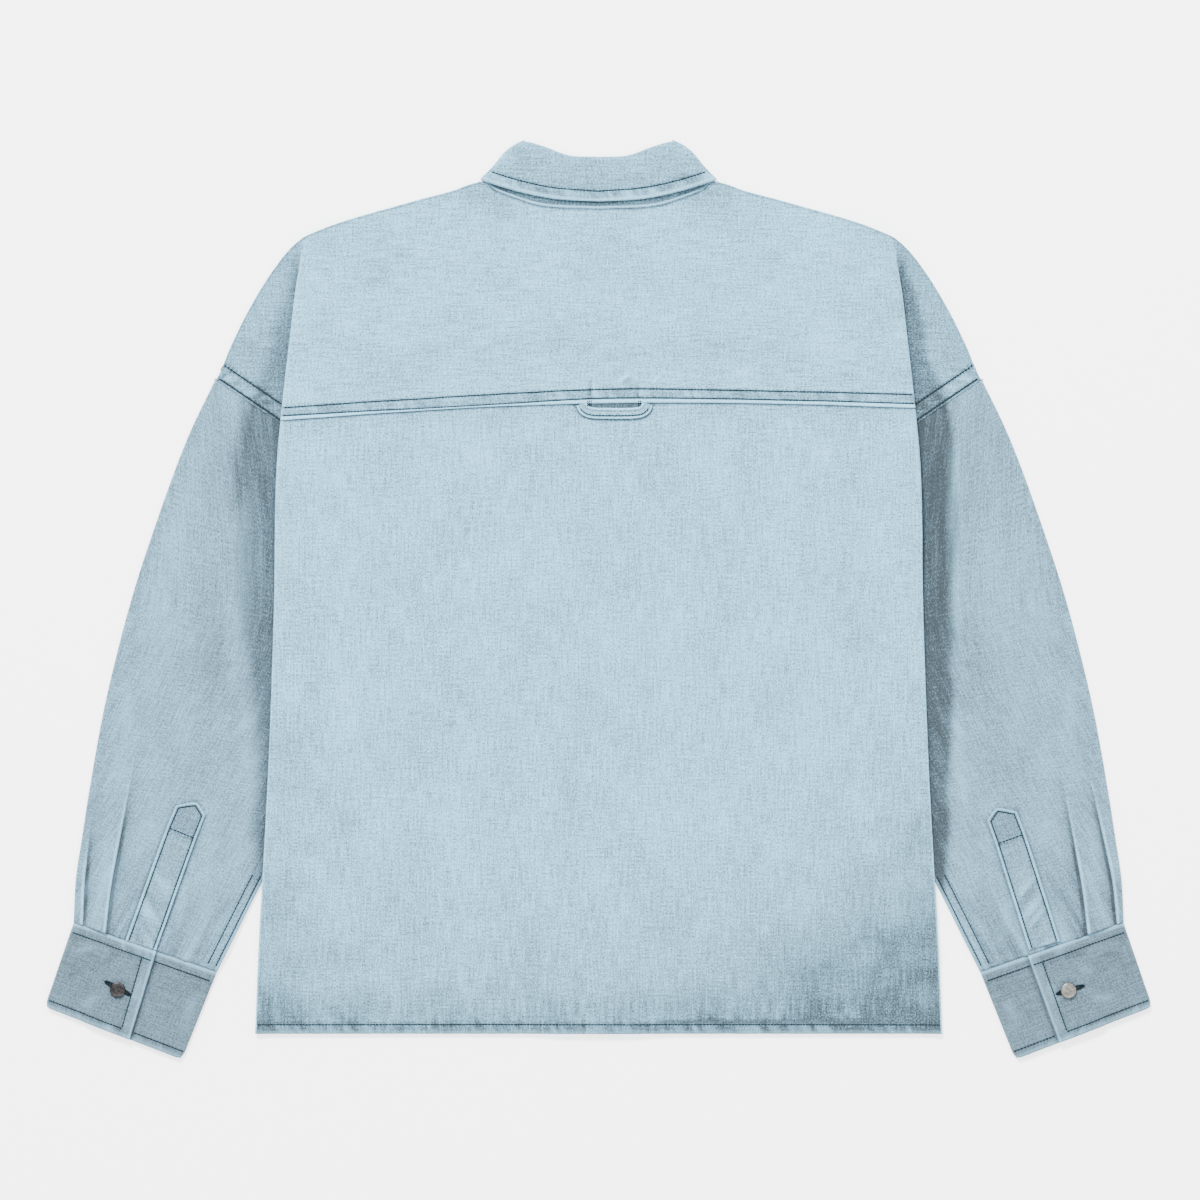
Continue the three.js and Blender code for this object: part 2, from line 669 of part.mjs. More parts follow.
function makeSleeve(side, name) {
  const grid = dress(SLEEVE_STATIONS.map((v) => sleeveSection(side, v)), true);
  addPiece(name, wallGeometry(grid, CLOTH, { closed: true }), DENIM_SLEEVE);
}

// Point between the four corners of the cuff
function cuffPoint(across, down) {
  const corner = (a, b, t) => [mix(a[0], b[0], t), mix(a[1], b[1], t)];
  const top = corner(CUFF.topInner, CUFF.topOuter, across);
  const bottom = corner(CUFF.bottomInner, CUFF.bottomOuter, across);
  return corner(top, bottom, down);
}

// Cuff: a band that runs round the wrist and laps over its own end
function cuffSection(overlap) {
  const fold = CUFF_PITCH / 2;
  const room = (fold + CUFF_CLOTH / 2) / CUFF_WIDTH;
  const high = CUFF_LOW_Z + CUFF_PITCH;
  const lap = overlap + CUFF_LAP;
  const path = [];
  const add = (s, z) => path.push({ s, z });
  const turn = (s, direction) => [30, 60, 90, 120, 150].forEach((degrees) => {
    const angle = THREE.MathUtils.degToRad(degrees);
    const sideways = direction * fold / CUFF_WIDTH * Math.sin(angle);
    add(s + sideways, CUFF_LOW_Z + fold - direction * fold * Math.cos(angle));
  });
  add(lap, high);
  add(overlap, high);
  add(mix(overlap, room, 0.5), high);
  add(room, high);
  turn(room, -1);
  [0, 0.33, 0.67, 1].forEach((q) => add(mix(room, 1 - room, q), CUFF_LOW_Z));
  turn(1 - room, 1);
  add(1 - room, high);
  add(mix(lap + CUFF_RAMP, 1 - room, 0.4), high);
  add(lap + CUFF_RAMP * 0.8, CUFF_LOW_Z + 1.6 * CUFF_PITCH);
  add(lap, high + CUFF_PITCH);
  add(overlap, high + CUFF_PITCH);
  return path;
}

function makeCuff(row, name) {
  const middle = steps(3).map((down) => {
    const overlap = mix(row.overlapTop, row.overlapBottom, down);
    return cuffSection(overlap).map(({ s, z }) => {
      const [x, y] = cuffPoint(s, down);
      return place(row.side, x, y, z);
    });
  });
  addPiece(name, wallGeometry(dress(middle), CUFF_CLOTH), DENIM_TRIM);
}

// House-ended strip on the sleeve, lifted clear of it
function makeSleevePlacket(row, name) {
  const axis = new THREE.Vector2(row.endX - row.tipX, row.endY - row.tipY);
  const length = axis.length();
  axis.normalize();
  const across = new THREE.Vector2(-axis.y, axis.x);
  const half = SLEEVE_PLACKET_WIDTH / 2;
  const base = REST_MIDDLE + LAYER_PITCH / 2 + CLOTH + SEAM_GAP;
  const middle = steps(8).map((w) => steps(2).map((q) => {
    const sideways = mix(-half, half, q);
    const tip = SLEEVE_PLACKET_TIP * Math.abs(sideways) / half;
    const s = mix(tip, length, w);
    const x = row.tipX + axis.x * s + across.x * sideways;
    const y = row.tipY + axis.y * s + across.y * sideways;
    return place(row.side, x, y, base + sleevePuff(x, y));
  }));
  addPiece(name, wallGeometry(dress(middle), CLOTH), DENIM_SLEEVE);
}

// A button is a flat disc with a rounded rim
function makeButton(name, x, y, bottomZ, height) {
  const rim = height * 0.35;
  const profile = [
    [0, 0],
    [BUTTON_RADIUS - rim, 0],
    [BUTTON_RADIUS, rim],
    [BUTTON_RADIUS, height - rim],
    [BUTTON_RADIUS - rim, height],
    [0, height],
  ].map(([r, z]) => new THREE.Vector2(r, z));
  const geometry = new THREE.LatheGeometry(profile, 12);
  geometry.rotateX(Math.PI / 2);
  const mesh = addPiece(name, geometry, BUTTON_METAL, 0.9, 0.4);
  mesh.position.set(x, y, bottomZ);
}

// Half of a collar layer, from its front end round the flattened side to the middle of the back
function collarHalf(side, front, back, frontZ, backZ, rows) {
  const radius = (backZ - frontZ) / 2;
  const out = COLLAR_SIDE_OUT;
  const clear = COLLAR_SIDE_INSET;
  return rows.map((v) => {
    const at = (pair, q) => {
      const x = mix(along(pair.fold, 'q', 'x', q), along(pair.edge, 'q', 'x', q), v);
      const y = mix(along(pair.fold, 'q', 'y', q), along(pair.edge, 'q', 'y', q), v);
      return [x - out.x * clear * q, y - out.y * clear * q];
    };
    const row = steps(6).map((q) => place(side, ...at(front, q), frontZ));
    const [x, y] = at(back, 1);
    [150, 120, 90, 60, 30].forEach((degrees) => {
      const angle = THREE.MathUtils.degToRad(degrees);
      const reach = radius * Math.sin(angle);
      row.push(place(side, x + out.x * reach, y + out.y * reach, frontZ + radius + radius * Math.cos(angle)));
    });
    [...steps(6)].reverse().forEach((q) => row.push(place(side, ...at(back, q), backZ)));
    return row;
  });
}

function collarGrid(frontOf, back, frontZ, backZ, rows) {
  const right = collarHalf(1, frontOf(1), back, frontZ, backZ, rows);
  const left = collarHalf(-1, frontOf(-1), back, frontZ, backZ, rows);
  return left.map((row, r) => [...row, ...[...right[r]].reverse().slice(1)]);
}

function makeCollarLeaf() {
  const frontOf = () => ({ fold: COLLAR_FOLD_FRONT, edge: COLLAR_EDGE_FRONT });
  const back = { fold: COLLAR_FOLD_BACK, edge: COLLAR_EDGE_BACK };
  const grid = dress(collarGrid(frontOf, back, LEAF_FRONT_Z, LEAF_BACK_Z, steps(COLLAR_ROWS)));
  addPiece('collar_leaf', wallGeometry(grid, DOUBLE_CLOTH), DENIM_BODY);
}

// Stand of the collar: from the neck seam up into the fold of the leaf
function makeCollarStand() {
  const seamLine = (table, start) => [...NECK_X, STAND_SIDE_X].map((neckX, i) => {
    const q = i / NECK_X.length;
    const x = i === 0 ? start : Math.max(neckX, start);
    const inset = COLLAR_SIDE_INSET * q;
    return {
      q,
      x: x + inset * COLLAR_SIDE_OUT.x,
      y: along(table, 'x', 'y', x) + STAND_CLEAR + inset * COLLAR_SIDE_OUT.y,
    };
  });
  const frontOf = (side) => {
    const start = STAND_END_X.find((row) => row.side === side).x;
    const fold = [{ ...COLLAR_FOLD_FRONT[0], x: start }, ...COLLAR_FOLD_FRONT.slice(1)];
    return { fold, edge: seamLine(FRONT_TOP, start) };
  };
  const back = { fold: COLLAR_FOLD_BACK, edge: seamLine(BACK_TOP, 0) };
  const grid = dress(collarGrid(frontOf, back, STAND_FRONT_Z, STAND_BACK_Z, STAND_ROWS));
  addPiece('collar_stand', wallGeometry(grid, CLOTH), DENIM_TRIM);
}

// Hanger loop: a narrow band on the back panel, its ends in the yoke seam
function makeHangerLoop() {
  const middle = steps(12).map((w) => {
    const at = w * (LOOP_PATH.length - 1);
    const i = Math.min(Math.floor(at), LOOP_PATH.length - 2);
    const a = LOOP_PATH[i];
    const b = LOOP_PATH[i + 1];
    const x = mix(a.x, b.x, at - i);
    const y = mix(a.y, b.y, at - i);
    const ahead = new THREE.Vector2(b.x - a.x, b.y - a.y).normalize();
    return [0.5, 0, -0.5].map((q) => {
      const px = x - ahead.y * q * LOOP_WIDTH;
      const py = y + ahead.x * q * LOOP_WIDTH;
      const z = REST_MIDDLE + lift(Math.abs(px), py) + LAYER_PITCH / 2 + bodyPuff(Math.abs(px), py);
      return new THREE.Vector3(px, py, z + LAYER_PITCH);
    });
  });
  addPiece('hanger_loop', wallGeometry(dress(middle), CLOTH), DENIM_YOKE);
}

makeYoke();
makeBackPanel();
makeFront(-1, 'front_left');
makeFront(1, 'front_right');
makeFrontPlacket();
makeSleeve(-1, 'sleeve_left');
makeSleeve(1, 'sleeve_right');
CUFF_SIDES.forEach((row) => {
  const end = row.side < 0 ? 'left' : 'right';
  makeCuff(row, `cuff_${end}`);
  makeButton(`cuff_button_${end}`, row.side * row.buttonX, row.buttonY, CUFF_BUTTON_Z, BUTTON_HEIGHT);
});
SLEEVE_PLACKETS.forEach((row) => {
  makeSleevePlacket(row, `sleeve_placket_${row.side < 0 ? 'left' : 'right'}`);
});
makeCollarLeaf();
makeCollarStand();
makeHangerLoop();
steps(FRONT_BUTTONS - 1).forEach((q, i) => {
  const y = FRONT_BUTTON_TOP_Y - i * FRONT_BUTTON_STEP;
  makeButton(`front_button_${i + 1}`, 0, y, 0, BUTTON_HEIGHT);
});
makeButton('stand_button', 0, STAND_BUTTON_Y, 0, STAND_BUTTON_HEIGHT);

export default shirt;
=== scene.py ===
import math

import bmesh
import bpy
import numpy as np
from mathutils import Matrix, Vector
from mathutils.bvhtree import BVHTree


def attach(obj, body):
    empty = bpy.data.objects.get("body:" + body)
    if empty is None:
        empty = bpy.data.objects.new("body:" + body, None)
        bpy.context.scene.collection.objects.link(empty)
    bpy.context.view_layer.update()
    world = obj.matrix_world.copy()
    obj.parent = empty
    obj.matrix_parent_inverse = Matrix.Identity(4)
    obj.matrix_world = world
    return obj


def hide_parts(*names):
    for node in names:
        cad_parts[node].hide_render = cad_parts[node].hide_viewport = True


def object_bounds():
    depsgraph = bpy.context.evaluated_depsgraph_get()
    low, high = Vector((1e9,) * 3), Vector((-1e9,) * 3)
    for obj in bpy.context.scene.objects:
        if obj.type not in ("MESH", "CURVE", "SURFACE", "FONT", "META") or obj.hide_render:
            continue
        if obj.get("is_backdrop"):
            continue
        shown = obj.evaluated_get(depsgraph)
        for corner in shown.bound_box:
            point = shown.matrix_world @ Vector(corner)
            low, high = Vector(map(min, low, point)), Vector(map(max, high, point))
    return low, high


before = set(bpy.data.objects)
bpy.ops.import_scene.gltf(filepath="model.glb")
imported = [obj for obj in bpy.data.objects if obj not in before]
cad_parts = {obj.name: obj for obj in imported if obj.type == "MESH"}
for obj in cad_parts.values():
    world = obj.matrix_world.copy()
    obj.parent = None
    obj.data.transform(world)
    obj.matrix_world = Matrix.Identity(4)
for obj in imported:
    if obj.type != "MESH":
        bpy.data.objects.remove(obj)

cad_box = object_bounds()

# A washed denim overshirt that lies flat with its back up. Lengths are in millimetres until
# a mesh is made. Tables give the right half; the left half is its mirror unless x is signed.
# The shares q, v and w run from 0 to 1 across a piece or up it; s is a length round it.
# In the reliefs a bell(distance, width) times a height is a ridge or a trough, and the last
# number of roping, noise and undulation is the fixed seed of that place.
MM = 0.001
CLOTH = 1.2
DOUBLE_CLOTH = 1.6
CUFF_CLOTH = 2.0
SEAM_GAP = 0.3
LAYER_PITCH = 1.8
HALF_PITCH = LAYER_PITCH / 2
REST_MIDDLE = CLOTH / 2 + LAYER_PITCH / 2
HEM_Y = -366.8
HEM_STITCH_Y = HEM_Y + 7.6
YOKE_END_X = 266
PLEAT_RADIUS = 1.75
PLEAT_LIFT = 4 * PLEAT_RADIUS
SLEEVE_LIFT = 3.6
TURNED_UNDER = 18
EDGE_INSET = HALF_PITCH + CLOTH / 2
BODY_PUFF = 0.9
SLEEVE_PUFF = 2.6
PLACKET_HALF = 16
PLACKET_LIFT = 2.2
COLLAR_LIFT = 1.9
PLEAT_SPREAD = 12
PLEAT_OPENS = (0.76, 0.83)
YOKE_LENGTH = 180
YOKE_LAP = 1.2
ARMHOLE_X = 324
SIDES = ((-1, "left"), (1, "right"))
FAR = 1e6
SHOULDER_END_X = 318.6
CUFF_WIDTH = 128
CUFF_ACROSS = 126
CUFF_DEEP = 78.5
CUFF_LOW_Z = CUFF_CLOTH / 2
CUFF_PITCH = CUFF_CLOTH + SEAM_GAP
CUFF_LAP = 0.25
CUFF_RAMP = 0.09

BODY_EDGE = [
    (-367, 290.4), (-290, 287), (-195, 281.6), (-140, 278.8), (0, 273.9),
    (118, 271.4), (156, 268), (219, 260.9), (274, 253.8), (308, 246),
]
SLEEVE_INNER = [
    (-370, 349), (-315.5, 322.8), (-245, 287.6), (-147, 236), (-80, 203), (-40, 190),
    (10, 193), (60, 206), (117, 218), (160, 226), (202, 235), (245, 246), (270, 257), (286, 268),
]
SHOULDER = [
    (104, 352), (125, 344.9), (151, 338.2), (198.4, 324.6), (237.2, 311.1), (250.8, 304.4),
    (265.5, 290.9), (281.2, 269.8), (300.6, 236), (316.2, 202.2), (323.4, 187), (330, 173),
]
BACK_TOP = [(0, 330.4), (50, 333.4), (73, 340.5), (88, 346.5), (97, 352.4), *SHOULDER]
FRONT_TOP = [
    (0, 262), (20, 263), (40, 270), (60, 283), (76, 302), (88, 327), (97, 352.4), *SHOULDER,
]
PLEAT_INNER_X = [
    (0, 221.2), (0.3, 229), (0.6, 240), (0.75, 248.6), (0.82, 254), (0.9, 261), (1, 271),
]
PLEAT_INNER_Y = [
    (0, 117.8), (0.3, 172), (0.6, 228), (0.75, 265), (0.82, 276), (0.9, 281), (1, 281.8),
]
YOKE_SEAM = [(-270, 150.7), (-83, 163), (102, 165.9), (270, 161.2)]
ARMHOLE = [(218, 115.5), (323.4, 187)]
SLEEVE_ROWS = [
    (0, 322.8, -315.5, 443.7, -273.3), (0.07, 305, -280, 441.8, -236.8),
    (0.15, 287.6, -245, 436.9, -203.1), (0.25, 260, -192, 430.3, -160),
    (0.4, 222, -120, 416.5, -85), (0.55, 190, -40, 395.1, -0.4),
    (0.7, 192.5, 14, 370.3, 75.5), (0.85, 205, 62, 347, 137.5), (1, 218, 115.5, 323.4, 187),
]
# Knife pleats at the cuff: where across the sleeve at the cuff and at the top, length, depth
SLEEVE_PLEATS = {
    -1: [(0.775, 0.82, 0.36, 7), (0.935, 0.965, 0.2, 2.6)],
    1: [(0.75, 0.8, 0.32, 7), (0.955, 0.915, 0.34, 3)],
}
CUFF_TOP = ((322.8, -315.5), (443.7, -273.3))
CUFF_BOTTOM = ((352, -388.4), (467.9, -343.8))
CUFF_OVERLAP = {-1: (0.42, 0.38), 1: (0.33, 0.32)}
CUFF_BUTTON = {-1: (405.8, -329.3), 1: (396.6, -330)}
SLEEVE_PLACKETS = {
    -1: ((346.5, -170.5), (386.3, -291.8)),
    1: ((343, -175.5), (376.3, -291.8)),
}
# Edges of the sleeve placket to both sides of its line, by the way down from its tip
PLACKET_SIDES = [(-2, -17.8, 8.2), (6, -17.6, 8.6), (25, -16.5, 10.3), (75, -15, 12), (125, -13.6, 13.5)]
# Pointed end of the sleeve placket: across it, and where it starts along its line
PLACKET_TIP = [(0, 6), (0.4, -1.4), (0.42, -1.4), (1, 6)]
COLLAR_FOLD_BACK = [(0, 0, 373.6), (0.35, 24, 375.3), (0.7, 44, 381.6), (1, 63, 388.4)]
COLLAR_EDGE_BACK = [(0, 0, 336), (0.4, 40, 339.3), (0.7, 70, 346), (1, 100, 355.5)]
COLLAR_EDGE = [row[1:] for row in COLLAR_EDGE_BACK]
COLLAR_EDGE_END = 100
COLLAR_FOLD_FRONT = [(0, 9, 291), (0.35, 33, 304), (0.7, 54, 340), (1, 63, 388.4)]
COLLAR_EDGE_FRONT = [(0, 68, 236), (0.5, 91, 293), (1, 100, 355.5)]
COLLAR_SIDE_OUT = (34 / math.hypot(34, 36), 36 / math.hypot(34, 36))
COLLAR_SIDE_INSET = 3.25
LEAF_BACK_Z = 5.7
LEAF_FRONT_Z = 0.8
LEAF_TURN_Z = 4.5
STAND_BACK_Z = 4
STAND_FRONT_Z = 2.5
STAND_TURN_Z = 3.3
STAND_SIDE_X = 96
STAND_CLEAR = 1.2
STAND_END_X = {-1: -8, 1: 9.5}
NECK_X = [0, 22, 44, 64, 80, 90]
LOOP_PATH = [
    (-14.6, 165.2), (-12, 160.2), (-5, 157.5), (13.4, 157), (31.8, 157.5), (38.8, 160.2), (41.4, 165.2),
]
LOOP_WIDTH = 9
BARTACK_X = (-9.4, -7.9, -6.4, 33.7, 35.1)
BUTTON_HEIGHT = 1.9
STAND_BUTTON_HEIGHT = 1.6
STAND_BUTTON_Y = 276
CUFF_BUTTON_Z = 6.9
FRONT_BUTTON_TOP_Y = 225
FRONT_BUTTON_STEP = 105
FRONT_BUTTONS = 6

# Stitching and worn ridges, with signed x
YOKE_STITCH_HIGH = [(-265.6, 161.7), (-83.2, 173.5), (18.1, 177.7), (102.5, 176.9), (266, 172.7)]
YOKE_STITCH_LOW = [(-265.6, 154.9), (-83.2, 165.1), (1.2, 169.7), (102.5, 169.5), (266.3, 165.1)]
LEAF_STITCH = 8.6
NECK_STITCH = -0.9
ARMHOLE_STITCHES = (1.4, 13)
UNDERARM_STITCHES = (10, 3.2)
CUFF_STITCHES = (0.102, 0.915)
CUFF_TROUGHS = (8.0, 72.3)
LAP_STITCH = 0.075
LAP_GAP = 0.012
FRONT_STITCH_X = 12.6
FRONT_STITCH_TOP_Y = 256
ARMHOLE_STITCH_END_X = 321.6
STITCH_PITCH = 2.7
STITCH_RADIUS = 0.5


def curve(table, at, column=1):
    """Values of a table's column on a smooth curve through its rows."""
    keys = np.array([row[0] for row in table], float)
    values = np.array([row[column] for row in table], float)
    at = np.asarray(at, float)
    last = len(keys) - 1
    slope = np.diff(values) / np.diff(keys)
    before = slope.copy()
    before[1:] = (slope[1:] + slope[:-1]) / 2
    after = slope.copy()
    after[:-1] = (slope[:-1] + slope[1:]) / 2
    i = np.clip(np.searchsorted(keys, at, side="left") - 1, 0, last - 1)
    span = keys[i + 1] - keys[i]
    t = share((at - keys[i]) / span)
    bend = t * (1 - t) * span
    straight = values[i] + slope[i] * span * t
    return straight + bend * ((1 - t) * (before[i] - slope[i]) - t * (after[i] - slope[i]))


def share(t):
    """Values kept between 0 and 1."""
    return np.clip(t, 0, 1)


def ease(t):
    t = share(t)
    return t * t * (3 - 2 * t)


def mix(a, b, t):
    return a + (b - a) * t


def bell(d, width):
    return np.exp(-((d / width) ** 2))


def bells(d, places, width):
    return sum(bell(d - place, width) for place in places)


LATTICE_SIZE = (97, 89)
LATTICE = np.random.default_rng(7).random(LATTICE_SIZE) * 2 - 1


def noise(x, y=0.0, seed=0):
    """Smooth noise from -1 to 1 with one unit between its knots."""
    x = np.asarray(x, float) + seed * 17.31
    y = np.asarray(y, float) + seed * 9.17
    i = np.floor(x).astype(int)
    j = np.floor(y).astype(int)
    u = ease(x - i)
    v = ease(y - j)
    at = lambda a, b: LATTICE[a % LATTICE_SIZE[0], b % LATTICE_SIZE[1]]
    low = mix(at(i, j), at(i + 1, j), u)
    high = mix(at(i, j + 1), at(i + 1, j + 1), u)
    return mix(low, high, v)


def body_edge(y):
    return curve(BODY_EDGE, y)


def sleeve_inner(y):
    return curve(SLEEVE_INNER, y)


def yoke_seam(side, x):
    return curve(YOKE_SEAM, side * np.asarray(x, float))


def armhole(x):
    (x0, y0), (x1, y1) = ARMHOLE
    return mix(y0, y1, (x - x0) / (x1 - x0))


def inset_top(table, x):
    """Upper end of a layer, as far inside the outline as the roll of its edge needs."""
    x = np.asarray(x, float)
    slope = (curve(table, x + 1) - curve(table, np.maximum(x - 1, 0))) / 2
    return curve(table, x) - EDGE_INSET * np.hypot(1, np.minimum(np.abs(slope), 3))


def lift(x, y):
    """How far the body is raised by the sleeve, collar or front buttons under it."""
    most = mix(SLEEVE_LIFT, PLEAT_LIFT, ease((y + 40) / 100))
    inner = sleeve_inner(y)
    inner = np.where(y > 130, np.minimum(inner, body_edge(y) - PLEAT_RADIUS), inner)
    over_sleeve = most * ease((x - inner + 78) / 52)
    over_collar = COLLAR_LIFT * ease((158 - x) / 30) * ease((y - 200) / 24)
    over_buttons = PLACKET_LIFT * ease((62 - x) / 38)
    return np.maximum(np.maximum(over_sleeve, over_collar), over_buttons)


def body_puff(x, y):
    sides = ease((body_edge(y) - 12 - x) / 60)
    return BODY_PUFF * sides * ease((y - HEM_Y - 6) / 40) * ease((318 - y) / 40)


OUTLINE = [(row[4], row[3]) for row in SLEEVE_ROWS]
OUTLINE += [(y, x) for x, y in reversed(SHOULDER) if y > 190]


def outer_at(y):
    return curve(OUTLINE, y)


def sleeve_puff(x, y):
    outline = outer_at(np.maximum(y, -273))
    beside = ease((x - body_edge(y) - 3) / 34)
    return SLEEVE_PUFF * beside * ease((outline - 4 - x) / 26) * ease((y + 322) / 30)


def fold_points(from_s, from_z, to_s, to_z, radius, segments):
    """An S-shaped fold from one height down to the next, over or under itself."""
    run = to_s - from_s
    drop = from_z - to_z
    both = 2 * radius
    reach = max(math.hypot(run, both - drop), both)
    turn = math.asin(min(both / reach, 1)) - math.atan2(both - drop, run)
    t = np.linspace(0, 1, segments + 1)
    s1 = from_s + radius * np.sin(t * turn)
    z1 = from_z - radius * (1 - np.cos(t * turn))
    s2 = to_s - radius * np.sin((1 - t) * turn)
    z2 = to_z + radius * (1 - np.cos((1 - t) * turn))
    return np.concatenate([s1, s2]), np.concatenate([z1, z2])


def unit(v):
    length = np.linalg.norm(v, axis=-1, keepdims=True)
    return np.where(length > 1e-9, v / np.maximum(length, 1e-9), 0)


def normals_of(p, closed=False):
    """Normals of a grid of points from each point's neighbours."""
    if closed:
        left, right = np.roll(p, 1, axis=1), np.roll(p, -1, axis=1)
    else:
        left = np.concatenate([p[:, :1], p[:, :-1]], axis=1)
        right = np.concatenate([p[:, 1:], p[:, -1:]], axis=1)
    below = np.concatenate([p[:1], p[:-1]], axis=0)
    above = np.concatenate([p[1:], p[-1:]], axis=0)
    across = unit(p - left) + unit(right - p)
    up = unit(p - below) + unit(above - p)
    return unit(np.cross(across, up))


def roll_top(points, normals, middle, middle_normals, offset):
    """The last row of a layer rolls towards the layer it is sewn to."""
    out = unit(middle[-1] - middle[-2])
    sign = math.copysign(1, offset)
    for degrees in (18, 36, 54, 76):
        a = math.radians(degrees)
        turned = middle_normals[-1] * sign * math.cos(a) + out * math.sin(a)
        points = np.concatenate([points, (middle[-1] + turned * abs(offset))[None]])
        normals = np.concatenate([normals, (turned * sign)[None]])
    return points, normals


def shell(points, normals, thickness, closed, has):
    """Vertices and quads of a wall of cloth around a grid of middle points."""
    rows, columns = points.shape[:2]
    cells = columns if closed else columns - 1
    top = points + normals * thickness / 2
    low = points - normals * thickness / 2
    co = np.concatenate([top.reshape(-1, 3), low.reshape(-1, 3)])
    base = rows * columns
    r, c = np.meshgrid(np.arange(rows - 1), np.arange(cells), indexing="ij")
    a = r * columns + c
    b = r * columns + (c + 1) % columns
    d = (r + 1) * columns + c
    e = (r + 1) * columns + (c + 1) % columns
    mask = np.ones((rows - 1, cells), bool) if has is None else has
    up = np.stack([a, b, e, d], -1)[mask]
    down = np.stack([a, d, e, b], -1)[mask] + base

    def border(missing, i, j):
        pick = mask & missing
        return np.stack([i[pick], i[pick] + base, j[pick] + base, j[pick]], -1)

    empty = lambda shape: np.zeros(shape, bool)
    south = np.concatenate([empty((1, cells)), mask[:-1]])
    north = np.concatenate([mask[1:], empty((1, cells))])
    if closed:
        west, east = np.roll(mask, 1, axis=1), np.roll(mask, -1, axis=1)
    else:
        west = np.concatenate([empty((rows - 1, 1)), mask[:, :-1]], axis=1)
        east = np.concatenate([mask[:, 1:], empty((rows - 1, 1))], axis=1)
    quads = np.concatenate([
        up, down, border(~south, a, b), border(~north, e, d),
        border(~west, d, a), border(~east, b, e),
    ])
    return co, quads


def both_faces(values):
    return np.concatenate([values.ravel(), values.ravel()])


def add_piece(name, mesh):
    piece = bpy.data.objects.new(name, mesh)
    bpy.context.collection.objects.link(piece)
    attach(piece, "root")
    return piece


def cloth_piece(
    name, points, normals, thickness, grain, wear, shade, closed=False, has=None
):
    """A wall of cloth around a grid of middle points.

    The grain is each point's place on the flat cloth in millimetres. Wear and shade say how
    worn and how dark it is there, from 0 to 1. Cells without cloth are False in has.
    """
    co, quads = shell(points, normals, thickness, closed, has)
    uv = np.stack([both_faces(way) for way in grain], -1)
    wear, shade = both_faces(wear), both_faces(shade)
    corner = co[quads]
    volume = np.sum(corner[:, 0] * np.cross(corner[:, 1], corner[:, 2]))
    volume += np.sum(corner[:, 0] * np.cross(corner[:, 2], corner[:, 3]))
    if volume < 0:
        quads = quads[:, ::-1]
    used = np.unique(quads)
    order = np.zeros(len(co), int)
    order[used] = np.arange(len(used))
    quads = order[quads]
    co, uv, wear, shade = co[used], uv[used], wear[used], shade[used]
    mesh = bpy.data.meshes.new(name)
    mesh.vertices.add(len(co))
    mesh.vertices.foreach_set("co", (co * MM).astype(np.float32).ravel())
    mesh.loops.add(quads.size)
    mesh.loops.foreach_set("vertex_index", quads.astype(np.int32).ravel())
    mesh.polygons.add(len(quads))
    mesh.polygons.foreach_set("loop_start", np.arange(0, quads.size, 4, dtype=np.int32))
    mesh.polygons.foreach_set("use_smooth", np.ones(len(quads), bool))
    mesh.update(calc_edges=True)
    layer = mesh.uv_layers.new(name="grain")
    layer.data.foreach_set("uv", uv[quads.ravel()].astype(np.float32).ravel())
    for key, values in (("wear", wear), ("shade", shade)):
        attribute = mesh.attributes.new(key, "FLOAT", "POINT")
        attribute.data.foreach_set("value", share(values).astype(np.float32))
    mesh.validate()
    return add_piece(name, mesh)


def dense(start, end, step, marks=(), near=12, fine=1.5):
    """Stations from start to end, closer together near the marks."""
    stations = [start]
    while stations[-1] < end:
        here = stations[-1]
        gap = min([abs(here - mark) for mark in marks] + [1e9])
        width = fine if gap < near else min(step, fine + (gap - near) * 0.5)
        stations.append(here + width)
    stations = np.array(stations[:-1])
    if end - stations[-1] < fine * 0.4:
        stations = stations[:-1]
    return np.append(stations, end)


# Soft creases on the body and sleeves: ends, width across, height
BODY_CREASES = [
    (-205, 60, -214, -210, 17, 0.8), (-150, -60, -158, -320, 22, -0.5),
    (176, 30, 190, -240, 20, 0.8), (120, -90, 126, -330, 16, -0.4),
    (-60, 120, -74, -120, 26, 0.5), (48, 60, 54, -260, 24, 0.5),
    (226, 120, 238, -60, 12, 0.7), (-236, 130, -240, -20, 10, 0.6),
    (-180, 310, -214, 236, 13, 0.6), (186, 306, 220, 226, 12, 0.7),
    (-120, 300, -186, 200, 18, 0.5), (112, 292, 176, 204, 18, 0.5),
    (-240, 300, -246, 180, 7, 0.5), (241, 294, 250, 180, 8, 0.5),
    (-40, 300, -60, 210, 20, 0.4), (60, 296, 84, 214, 20, 0.4),
]
LOOP_CREASES = [
    (-7.2, 188, -6.4, 168, 1.5, -0.7), (-4.4, 186, -4, 169, 1.2, 0.4),
    (33.4, 182, 33, 167, 1.4, -0.6), (30.8, 181, 31, 169, 1.1, 0.35),
    (15.5, 182.5, 27, 191, 1.2, 0.7), (18.5, 181.5, 30, 188.5, 1.8, -0.5),
    (44, 182, 53, 190, 1.2, 0.6), (24, 179.5, 36, 180.5, 1.6, -0.5),
]
